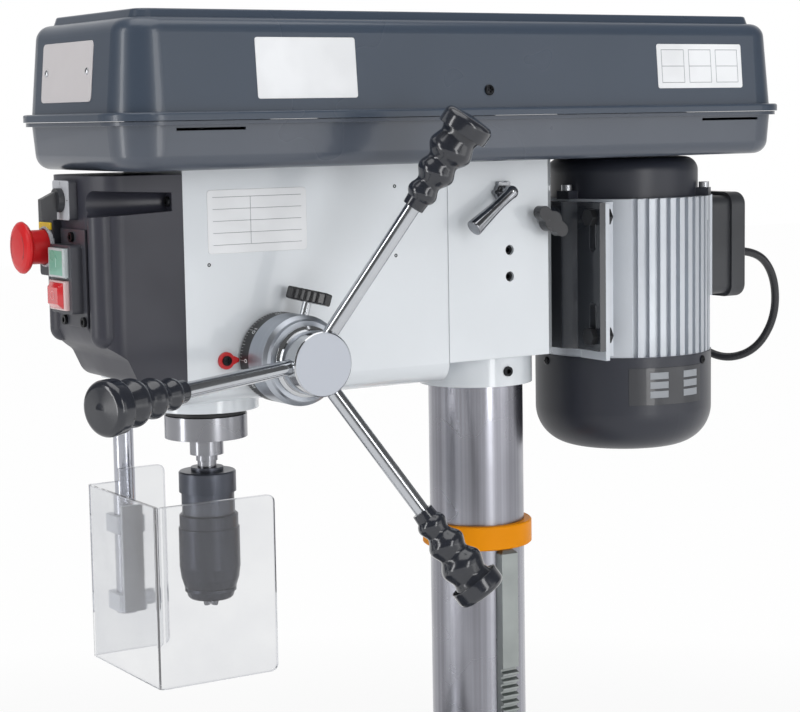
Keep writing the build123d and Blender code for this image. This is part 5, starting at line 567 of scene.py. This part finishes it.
START_MIDDLE = (3.8, -122.6, 875.5)
STOP_MIDDLE = (3.8, -122.6, 851.3)
CAP_TOP = 0.0034
dress(framed("start_green", paint(112, 172, 152), paint(176, 184, 186), at(*START_MIDDLE),
             half_wide=0.0122, half_high=0.0092), "start_button")
dress(framed("stop_frame", paint(190, 60, 64), paint(206, 176, 176), at(*STOP_MIDDLE),
             half_wide=0.0128, half_high=0.0096), "stop_button")
mark_mint = moulded("mark_mint", paint(186, 218, 206), 0.4)
plate("start_bar", facing_front(*START_MIDDLE), mark_mint, "start_button",
      size=(0.0009, 0.0066, 0.0002), levels=(-0.0001, 0.0001, 0.00005))
cap_place = facing_front(*STOP_MIDDLE)
# The cap's edges are made much lighter: wear and a painted highlight.
cap_red = moulded("cap_red", paint(196, 44, 50), 0.14, grain=400.0, depth=0.00001, coat=0.5, edge_wear_and_highlight=1.9)
plate("stop_cap", cap_place, cap_red, "stop_button", size=(0.0252, 0.0188, 0.0022),
      levels=(-0.0002, CAP_TOP, 0.0032))
mark_rose = moulded("mark_rose", paint(226, 150, 152), 0.4)
turned_piece("stop_mark", cap_place @ Matrix.Translation((0, 0, CAP_TOP)), mark_rose, "stop_button",
             [(0.0029, -0.0001), (0.0029, 0.0001), (0.0036, 0.0001), (0.0036, -0.0001)],
             steps=40, ring=True)


# Feed: a chrome-plated hub, rods seated in it and black plastic grips pushed over their ends.
# The depth ring is a satin-turned sleeve with a black scale band, held by a black T-handled screw.
FEED_Z = 797.8
FEED = at(0, 37.6, FEED_Z)
CROSSWISE = (1, 0, 0)
HUB_FACE_X = 0.1222
dress(lathe_steel("chrome", paint(196, 199, 204), 0.17, FEED, CROSSWISE, lines=1800.0, depth=0.000006,
                  cloud=0.95), "feed_rods")


def end_faced(name, colour, face_colour, limit):
    """Chrome with a satin end face past a place on X."""
    material, shader = finish(name, 0.1, 1.0)
    tree = material.node_tree
    rings = laid(material, turned_fx, Centre=FEED, Axis=CROSSWISE, Lines=1200.0)
    edge = laid(material, edges, Radius=0.0006)
    face = above(tree, "X", limit)
    ringed = blended(tree, rings.outputs["Tone"], colour, darker(colour, 0.9))
    tree.links.new(blended(tree, face, ringed, face_colour), shader.inputs["Base Color"])
    tree.links.new(between(tree, face, 0.1, 0.38), shader.inputs["Roughness"])
    embossed(material, shader, rings.outputs["Height"], 0.00002, 0.5, edge.outputs["Normal"])
    return material


dress(end_faced("hub_chrome", paint(200, 202, 205), paint(172, 176, 184), HUB_FACE_X), "feed_hub")
dress(lathe_steel("shaft_steel", paint(165, 167, 170), 0.25, FEED, CROSSWISE), "feed_shaft")
dress(moulded("grip_black", paint(34, 37, 45), 0.2, grain=120.0, depth=0.00003, coat=0.4, edge_wear_and_highlight=1.4),
      "feed_grips")
dress(moulded("cup_black", paint(52, 53, 57), 0.36), "spring_cup")
dress(metal("spring_blue", paint(70, 78, 96), 0.3), "return_spring")


def banded(name, steel, band, limit):
    """A turned sleeve with a dark printed band up to a place on X."""
    material, shader = finish(name, 0.26, 1.0)
    tree = material.node_tree
    rings = laid(material, turned_fx, Centre=FEED, Axis=CROSSWISE, Lines=1400.0)
    edge = laid(material, edges, Radius=0.0005)
    past = above(tree, "X", limit)
    ringed = blended(tree, rings.outputs["Tone"], steel, darker(steel, 0.88))
    tree.links.new(blended(tree, past, band, ringed), shader.inputs["Base Color"])
    tree.links.new(past, shader.inputs["Metallic"])
    tree.links.new(between(tree, past, 0.42, 0.36), shader.inputs["Roughness"])
    embossed(material, shader, rings.outputs["Height"], 0.00002, 0.5, edge.outputs["Normal"])
    return material


RING_R = 0.0345
BAND_END_X = 0.068
SCALE_X = 0.0546
SCALE_DEPTH = 85
SCALE_SWEEP = 347.8
STEP_ANGLE = SCALE_SWEEP / SCALE_DEPTH
LINE_HALF = 0.24
LINE_TEN, LINE_FIVE, LINE_ONE = 0.0062, 0.0046, 0.003
LINE_SUNK, LINE_PROUD = -0.00002, 0.00006
NUMBER_X = 0.0618
NUMBER_HEIGHT = 0.0062
NUMBER_PROUD = 0.00008
POINTER_BEARING = 180
dress(banded("ring_satin", paint(184, 189, 197), paint(34, 35, 38), BAND_END_X), "depth_ring")
scale_white = moulded("scale_white", paint(232, 233, 235), 0.45, grain=300.0, depth=0.00001)


def round_ring(x, arc, lift):
    """A place on the depth ring from its X and the arc from the pointer, lifted off it a little."""
    angle = math.radians(POINTER_BEARING - arc)
    return Vector((x, FEED.y + (RING_R + lift) * math.cos(angle), FEED.z + (RING_R + lift) * math.sin(angle)))


def wrapped(mesh, outline):
    """A flat mark, given as X and arc pairs, laid on the ring as a thin raised form."""
    low = [mesh.verts.new(round_ring(x, arc, LINE_SUNK)) for x, arc in outline]
    top = [mesh.verts.new(round_ring(x, arc, LINE_PROUD)) for x, arc in outline]
    mesh.faces.new(top)
    for i in range(len(outline)):
        j = (i + 1) % len(outline)
        mesh.faces.new((low[i], low[j], top[j], top[i]))


mesh = bmesh.new()
for depth in range(SCALE_DEPTH + 1):
    end = SCALE_X + (LINE_TEN if depth % 10 == 0 else LINE_FIVE if depth % 5 == 0 else LINE_ONE)
    first, last = depth * STEP_ANGLE - LINE_HALF, depth * STEP_ANGLE + LINE_HALF
    wrapped(mesh, [(SCALE_X, first), (end, first), (end, last), (SCALE_X, last)])
piece("depth_scale", mesh, scale_white, "depth_ring")
numbers = bmesh.new()
for depth in range(0, SCALE_DEPTH, 10):
    text = bpy.data.curves.new("number", "FONT")
    text.body = str(depth)
    text.size = NUMBER_HEIGHT
    text.align_x = "CENTER"
    holder = bpy.data.objects.new("number", text)
    flat = bpy.data.meshes.new_from_object(holder)
    bpy.data.objects.remove(holder)
    start = len(numbers.verts)
    numbers.from_mesh(flat)
    numbers.verts.ensure_lookup_table()
    for vert in numbers.verts[start:]:
        arc = depth * STEP_ANGLE - math.degrees(vert.co.x / RING_R)
        vert.co = round_ring(NUMBER_X + vert.co.y, arc, NUMBER_PROUD)
piece("depth_numbers", numbers, scale_white, "depth_ring")
dress(moulded("pointer_red", paint(206, 40, 44), 0.3, coat=0.4), "depth_pointer")


def cross_head(mesh, place, radius, height, wide, long, deep, steps=72, rings=15):
    """A pan head with a cross recess, as rings of points pushed in where the driver goes."""
    loops = [[place @ Vector((radius * u, radius * v, -0.0002)) for u, v in spokes(steps)]]
    for ring in range(rings):
        share = 1 - ring / rings
        crown = height * (1 - share ** 3 * 0.55)
        loop = []
        for u, v in spokes(steps):
            x, y = radius * share * u, radius * share * v
            near, far = sorted((abs(x), abs(y)))
            loop.append(place @ Vector((x, y, crown - deep if near < wide and far < long else crown)))
        loops.append(loop)
    skinned(mesh, loops)


# The pointer's screw is met beside its socket, and the cross head is then brought to its middle.
POINTER_RIM_Y = -11
RIM_TO_MIDDLE = 0.0032
on_rim = right_side("socket_screws", y=POINTER_RIM_Y, z=FEED_Z)
mesh = bmesh.new()
cross_head(mesh, on_rim @ Matrix.Translation((RIM_TO_MIDDLE, 0, 0)), radius=0.0037, height=0.0009,
           wide=0.0005, long=0.0023, deep=0.0007)
piece("pointer_screw", mesh, black_oxide, "frame")


def near_feed(tree, reach):
    """1 within a reach from the feed's axis, else 0."""
    spoke = vector(tree, "SUBTRACT", own_place(tree), FEED)
    far = vector(tree, "LENGTH", vector(tree, "MULTIPLY", spoke, (0, 1, 1)))
    return stretched(tree, far, reach + SOFT_EDGE, reach - SOFT_EDGE)


def stemmed(name, handle, stem, bare_at, limit):
    """A black moulded handle on a plated stem, the stem told apart by a mask and its limit."""
    material, shader = finish(name, 0.3)
    tree = material.node_tree
    bare = bare_at(tree, limit)
    sprayed = laid(material, skin, Peel=700.0, Drift=18.0)
    edge = laid(material, edges, Radius=0.0007)
    toned = blended(tree, sprayed.outputs["Tone"], handle, darker(handle, 0.85))
    tree.links.new(blended(tree, bare, toned, stem), shader.inputs["Base Color"])
    tree.links.new(bare, shader.inputs["Metallic"])
    tree.links.new(between(tree, sprayed.outputs["Tone"], 0.22, 0.34), shader.inputs["Roughness"])
    embossed(material, shader, sprayed.outputs["Height"], 0.00003, 0.5, edge.outputs["Normal"])
    return material


STEM_PLATED = paint(190, 193, 197)
LOCK_STEM_R = 0.0446
dress(stemmed("lock_black", paint(34, 35, 39), STEM_PLATED, near_feed, LOCK_STEM_R), "depth_lock")


# Quill, spindle and chuck: the quill and spindle are ground steel, turned bright at the nose.
# The keyless chuck is blackened steel, its sleeve turned with a fine line and a tapered end.
SPINDLE = at(0, 0, 0)
BUFFER_Z = 751
dress(lathe_steel("quill_bright", paint(142, 143, 148), 0.24, SPINDLE, UPRIGHT, lines=1400.0, depth=0.00001,
                  cloud=0.95), "quill", "spindle")
dress(metal("bearing_bright", paint(190, 191, 194), 0.2), "quill_bearings", "pulley_bearings")
for node, tone in (("chuck_body", paint(86, 89, 97)), ("chuck_sleeve", paint(58, 60, 68))):
    dress(lathe_steel(node, tone, 0.31, SPINDLE, UPRIGHT, lines=1200.0, cloud=0.92, metallic=0.9), node)
dress(metal("jaw_steel", paint(120, 121, 125), 0.26), "chuck_jaw_1", "chuck_jaw_2", "chuck_jaw_3")
buffer_rubber = moulded("buffer_rubber", paint(30, 31, 33), 0.5, grain=500.0)
turned_piece("quill_buffer", Matrix.Translation(at(0, 0, BUFFER_Z)), buffer_rubber, "quill",
             [(0.0261, -0.0002), (0.0306, -0.0002), (0.0314, 0.0006), (0.0314, 0.0028), (0.0306, 0.0036),
              (0.0261, 0.0036)], steps=72, ring=True)


# Chuck guard: a bent sheet of clear polycarbonate on a grey strap, clamped on a steel rod.
# The sheet is thin and faintly hazed, partly from wiping and partly by a painted glow that is stronger along
# its sawn edges; it throws no shadow, and its sawn edges look grey.
GUARD_ROD_AXIS = at(-80, -35, 0)
SHEET_GLOW = (0.026, 0.026, 0.027, 1.0)
EDGE_GLOW = (0.06, 0.06, 0.064, 1.0)
clear, shader = finish("clear_sheet", 0.05)
shader.inputs["Transmission Weight"].default_value = 1.0
shader.inputs["IOR"].default_value = 1.25
# Painted glow: the sheet gives off a faint light of its own, and more along its sawn edges.
shader.inputs["Emission Strength"].default_value = 1.0
tree = clear.node_tree
wiped = laid(clear, skin, Peel=30.0, Drift=22.0)
sawn = laid(clear, edges, Radius=0.0022).outputs["Rub"]
haze = blended(tree, wiped.outputs["Tone"], paint(230, 231, 232), paint(224, 225, 227))
tree.links.new(blended(tree, sawn, haze, paint(158, 160, 166)), shader.inputs["Base Color"])
tree.links.new(between(tree, sawn, 0.05, 0.3), shader.inputs["Roughness"])
tree.links.new(blended(tree, sawn, SHEET_GLOW, EDGE_GLOW), shader.inputs["Emission Color"])
dress(clear, "guard_shield")
cad["guard_shield"].visible_shadow = False
dress(moulded("clamp_grey", paint(206, 209, 216), 0.4), "guard_clamp")
dress(lathe_steel("rod_steel", paint(178, 180, 188), 0.22, GUARD_ROD_AXIS, UPRIGHT, depth=0.00001,
                  cloud=0.96), "guard_rod")


# Belt drive: cast aluminium step pulleys on ball bearings, and two rubber V-belts with a fabric skin.
# The idler turns on a steel arm pinned to the head, and everything sits inside the belt cover.
IDLER_Y = 185
MOTOR_Y = 413
for name, y in (("spindle", 0), ("idler", IDLER_Y), ("motor", MOTOR_Y)):
    alloy = lathe_steel(f"pulley_{name}", paint(184, 186, 189), 0.3, at(0, y, 0), UPRIGHT, lines=700.0)
    dress(alloy, f"{name}_pulley")
dress(metal("arm_steel", paint(120, 122, 126), 0.4), "idler_arm")
dress(moulded("belt_rubber", paint(36, 36, 38), 0.7, grain=1500.0, depth=0.0001),
      "spindle_belt", "motor_belt")


# Belt cover: a deep-drawn pan and a hinged lid of sheet steel, glossy slate enamel inside and out.
# The lid has a raised top, a rolled lip and a catch screw; its plates are bare.
dress(enamel("lid_slate", paint(58, 69, 84), paint(104, 115, 128), 0.3, peel=140.0, depth=0.00003, coat=0.2),
      "belt_lid")
dress(enamel("pan_slate", paint(72, 79, 91), paint(112, 119, 128), 0.3, peel=140.0, depth=0.00003, coat=0.2),
      "belt_pan")
plate_silver = metal("plate_silver", paint(216, 212, 214), 0.4, peel=300.0, drift=12.0, metallic=0.3)
RIVET_OUT, RIVET_FOOT = 0.038, 0.0005
RIVET_PROFILE = [(0.0028, 0), (0.0027, 0.0005), (0.0021, 0.0011), (0.0011, 0.0014), (0.0002, 0.0015)]
badge = front_side("belt_lid", x=-8, z=1016.1)
plate("front_plate", badge, plate_silver, "lid", size=(0.094, 0.0446, 0.004),
      levels=(-0.0001, 0.0006, 0.0002))
for number, u in enumerate((-RIVET_OUT, RIVET_OUT), 1):
    turned_piece(f"front_rivet_{number}", badge @ Matrix.Translation((u, 0, RIVET_FOOT)), zinc, "lid",
                 RIVET_PROFILE, steps=24)
plate("side_label", right_side("belt_lid", y=43.5, z=1016.5), label_film, "lid",
      size=(0.085, 0.045, 0.002), levels=FILM)
CHART_LINE = 0.0005
CHART_STEP = 0.029
CHART_ROW = 0.0135
FRAME_HALF = 0.0118
FRAME_WIDE, FRAME_HIGH = 0.0235, 0.0275
chart = right_side("belt_lid", y=420.5, z=1017.2)
plate("chart_label", chart, label_film, "lid", size=(0.091, 0.0365, 0.002), levels=FILM)
chart_lines = []
for middle in (-CHART_STEP, 0, CHART_STEP):
    chart_lines += [(middle, v, FRAME_WIDE, CHART_LINE) for v in (-CHART_ROW, 0, CHART_ROW)]
    chart_lines += [(middle + u, 0, CHART_LINE, FRAME_HIGH) for u in (-FRAME_HALF, FRAME_HALF)]
bars("chart_frames", chart, label_ink, "lid", sizes=chart_lines, level=INK_LEVEL)
mesh = bmesh.new()
cross_head(mesh, right_side("belt_lid", y=205.7, z=998.9), radius=0.0042, height=0.0022, wide=0.0006,
           long=0.0024, deep=0.0012)
piece("lid_screw", mesh, black_oxide, "lid")


# Motor slide: a bent plate under gloss black, moved by a chrome lever on a pinion.
# A black wing knob on a plated stud locks the slide, and black bolts with bright ends hold the motor.
def short_of(tree, x):
    """1 where X is less than a place, else 0."""
    return between(tree, above(tree, "X", x), 1.0, 0.0)


STUD_END_X = 0.0609
BRIGHT_END_Z = 0.906
dress(enamel("bracket_black", paint(44, 47, 53), paint(112, 117, 125), 0.22, peel=160.0, depth=0.00005,
             coat=0.6), "motor_bracket")
dress(metal("lever_chrome", paint(168, 170, 175), 0.11, peel=90.0, cloud=0.6, depth=0.00003, drift=70.0),
      "tension_lever")
dress(stemmed("wing_black", paint(42, 43, 47), STEM_PLATED, short_of, STUD_END_X), "slide_lock")
dress(metal("bolt_black", paint(58, 59, 62), 0.35, metallic=0.8, plated=BRIGHT_END_Z), "motor_bolts")


# Motor: a grooved aluminium body between a black end bell and a drawn fan cover, held by three tie bolts.
# The terminal box on its back is charcoal plastic, a box and a lid with the cable's gland.
dress(metal("motor_alloy", paint(204, 209, 216), 0.46, peel=420.0, cloud=0.93, depth=0.00008, drift=10.0,
            metallic=0.55), "motor_body")
dress(enamel("motor_black", paint(42, 45, 55), paint(84, 88, 98), 0.38, depth=0.00004, coat=0.0),
      "motor_end_bell", "fan_cover")
FAN_COVER_R = 77.5
FAN_SCREW_Z = 766
FAN_SCREW_TURNS = (-96, 24, 144)
PLATE_TURN = math.radians(-7)
PLATE_SUNK, PLATE_PROUD = 0.2, 0.35
PLATE_WIDE, PLATE_LOW, PLATE_HIGH = 74.0, 731.0, 763.0
FIELD_ARCS = (-10.0, 23.0)
FIELD_LOWS = (737.2, 745.2, 753.2)
FIELD_WIDE, FIELD_HIGH, FIELD_PROUD = 17.0, 5.8, 0.45


def bent(mesh, turn, width, low, high, proud, steps=12):
    """A thin plate bent round the fan cover, from the turn of its middle, its width and its heights."""
    inner, outer = FAN_COVER_R - PLATE_SUNK, FAN_COVER_R + proud
    loops = []
    for step in range(steps + 1):
        angle = turn + width / FAN_COVER_R * (step / steps - 0.5)
        corners = ((inner, low), (outer, low), (outer, high), (inner, high))
        loops.append([at(r * math.cos(angle), MOTOR_Y + r * math.sin(angle), z) for r, z in corners])
    skinned(mesh, loops)


mesh = bmesh.new()
bent(mesh, PLATE_TURN, PLATE_WIDE, PLATE_LOW, PLATE_HIGH, PLATE_PROUD)
piece("motor_plate", mesh, moulded("plate_black", paint(44, 46, 52), 0.3, coat=0.3),
      "carriage")
mesh = bmesh.new()
for arc in FIELD_ARCS:
    for z in FIELD_LOWS:
        bent(mesh, PLATE_TURN + arc / FAN_COVER_R, FIELD_WIDE, z, z + FIELD_HIGH, FIELD_PROUD)
piece("motor_plate_fields", mesh, moulded("field_grey", paint(150, 154, 160), 0.4, grain=300.0),
      "carriage")
mesh = bmesh.new()
for turn in FAN_SCREW_TURNS:
    angle = math.radians(turn)
    out = Vector((math.cos(angle), math.sin(angle), 0))
    side = Vector((-out.y, out.x, 0))
    spot = at(FAN_COVER_R * out.x, MOTOR_Y + FAN_COVER_R * out.y, FAN_SCREW_Z)
    cross_head(mesh, placed(side, Vector(UPRIGHT), out, spot), radius=0.0036, height=0.0018, wide=0.0005,
               long=0.002, deep=0.001)
piece("fan_cover_screws", mesh, black_oxide, "carriage")
dress(moulded("box_black", paint(56, 58, 62), 0.44, grain=800.0), "terminal_box")
dress(lathe_steel("motor_steel", paint(168, 170, 173), 0.24, at(0, MOTOR_Y, 0), UPRIGHT), "motor_shaft")
dress(moulded("fan_black", paint(40, 41, 43), 0.5), "cooling_fan")


# Motor cable: one round black rubber lead, from the gland down in a loop and forward into the head.
# The route follows the solid, with its loop drawn in a little as the lead hangs.
ROUTE = ((0, 534, 852), (0, 567, 853), (-6, 597, 828), (-11, 603, 786), (-22, 586, 753), (-48, 562, 746),
         (-84, 546, 774), (-114, 500, 774), (-112, 424, 782), (-98, 346, 800), (-63.8, 290, 816.5),
         (-63.8, 235, 816.5))
LEAD_WIDE = 0.0075
lead = bpy.data.curves.new("motor_lead", "CURVE")
lead.dimensions = "3D"
lead.bevel_depth = LEAD_WIDE / 2
lead.bevel_resolution = 6
lead.resolution_u = 16
lead.use_fill_caps = True
line = lead.splines.new("NURBS")
line.points.add(len(ROUTE) - 1)
for point, place in zip(line.points, ROUTE):
    point.co = (*at(*place), 1.0)
line.order_u = 3
line.use_endpoint_u = True
lead.materials.append(moulded("cable_rubber", paint(38, 39, 44), 0.38, grain=500.0))
cable = bpy.data.objects.new("motor_lead", lead)
bpy.context.scene.collection.objects.link(cable)
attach(cable, "carriage")
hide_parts("motor_cable")


# Studio: a pale seamless floor and a white surround that falls off to a dim room where the camera stands.
# Two tall upright lamps draw the streaks on bright steel, a wide one hangs overhead and a panel fills in.
def eye_rays(tree):
    """1 on what the camera sees, straight or through clear sheet; and 1 on what bright metal mirrors."""
    rays = add(tree, "ShaderNodeLightPath").outputs
    seen = add(tree, "ShaderNodeMath", {0: rays["Is Camera Ray"], 1: rays["Is Transmission Ray"]},
               operation="MAXIMUM")
    return seen.outputs[0], rays["Is Glossy Ray"]


FLOOR_HALF = 12.0
FLOOR_GREY = (0.86, 0.86, 0.86, 1.0)
WHITE = (1, 1, 1, 1)
floor_mesh = bmesh.new()
bmesh.ops.create_grid(floor_mesh, x_segments=1, y_segments=1, size=FLOOR_HALF)
floor_data = bpy.data.meshes.new("floor")
floor_mesh.to_mesh(floor_data)
floor_mesh.free()
floor = bpy.data.objects.new("floor", floor_data)
bpy.context.scene.collection.objects.link(floor)
pale, shader = finish("floor_pale", 0.9)
shader.inputs["Base Color"].default_value = FLOOR_GREY
tree = pale.node_tree
seen, mirrored = eye_rays(tree)
any_ray = add(tree, "ShaderNodeMath", {0: seen, 1: mirrored}, operation="MAXIMUM")
away = vector(tree, "LENGTH", own_place(tree))
white = stretched(tree, away, low=0.5, high=2.2, to_low=0.5, to_high=0.98)
share = add(tree, "ShaderNodeMath", {0: any_ray.outputs[0], 1: white}, operation="MULTIPLY")
glow = add(tree, "ShaderNodeEmission", {"Color": WHITE, "Strength": 1.0})
mix = add(tree, "ShaderNodeMixShader", {0: share.outputs[0], 1: shader.outputs[0], 2: glow.outputs[0]})
tree.links.new(mix.outputs[0], tree.nodes["Material Output"].inputs["Surface"])
floor_data.materials.append(pale)

CAMERA_SIDE = (0.85, -0.527, 0.0)
ROOM_LIGHT = 0.55
world = bpy.data.worlds.new("surround")
bpy.context.scene.world = world
world.use_nodes = True
tree = world.node_tree
tree.nodes.clear()
seen, mirrored = eye_rays(tree)
way = add(tree, "ShaderNodeTexCoord").outputs["Generated"]
toward = vector(tree, "DOT_PRODUCT", way, CAMERA_SIDE)
room = stretched(tree, toward, low=-0.97, high=-0.45, to_low=1.0, to_high=0.14)
lit = add(tree, "ShaderNodeMix", {0: mirrored, 2: ROOM_LIGHT, 3: room})
level = add(tree, "ShaderNodeMix", {0: seen, 2: lit.outputs[0], 3: 1.0})
surround = add(tree, "ShaderNodeBackground", {"Color": WHITE, "Strength": level.outputs[0]})
add(tree, "ShaderNodeOutputWorld", {"Surface": surround.outputs[0]})


def lamp(name, place, aim, width, height, power):
    """A soft rectangular lamp that looks at a point."""
    data = bpy.data.lights.new(name, "AREA")
    data.shape = "RECTANGLE"
    data.size = width
    data.size_y = height
    data.energy = power
    shown = bpy.data.objects.new(name, data)
    bpy.context.scene.collection.objects.link(shown)
    shown.location = place
    shown.rotation_euler = (Vector(aim) - Vector(place)).to_track_quat("-Z", "Y").to_euler()


HEAD_FRONT = (0, 0, 0.8)
HEAD_MIDDLE = (0, 0.1, 0.8)
lamp("overhead", (0.2, -0.1, 3.2), HEAD_MIDDLE, width=2.4, height=2.4, power=36)
lamp("front", (-0.2, -2.8, 1.3), HEAD_FRONT, width=0.5, height=2.4, power=26)
lamp("side", (3.0, 0.15, 1.3), HEAD_MIDDLE, width=0.6, height=2.4, power=25)
lamp("panel", (2.4, 1.7, 1.0), HEAD_MIDDLE, width=1.7, height=1.7, power=9)

EYE = Vector((1.44577, -0.82804, 0.980))
view = bpy.data.cameras.new("camera")
view.lens = 93.15
view.sensor_width = 36.0
view.sensor_fit = "HORIZONTAL"
eye = bpy.data.objects.new("camera", view)
bpy.context.scene.collection.objects.link(eye)
turn, dip, lean = math.radians(58.147), math.radians(6.618), math.radians(-0.9467)
back = Vector((math.sin(turn) * math.cos(dip), -math.cos(turn) * math.cos(dip), math.sin(dip)))
right = (-back).cross(Vector(UPRIGHT)).normalized()
up = right.cross(-back)
across = right * math.cos(lean) + up * math.sin(lean)
upward = up * math.cos(lean) - right * math.sin(lean)
eye.matrix_world = placed(across, upward, back, EYE)
bpy.context.scene.camera = eye
bpy.context.scene.view_settings.view_transform = "Standard"
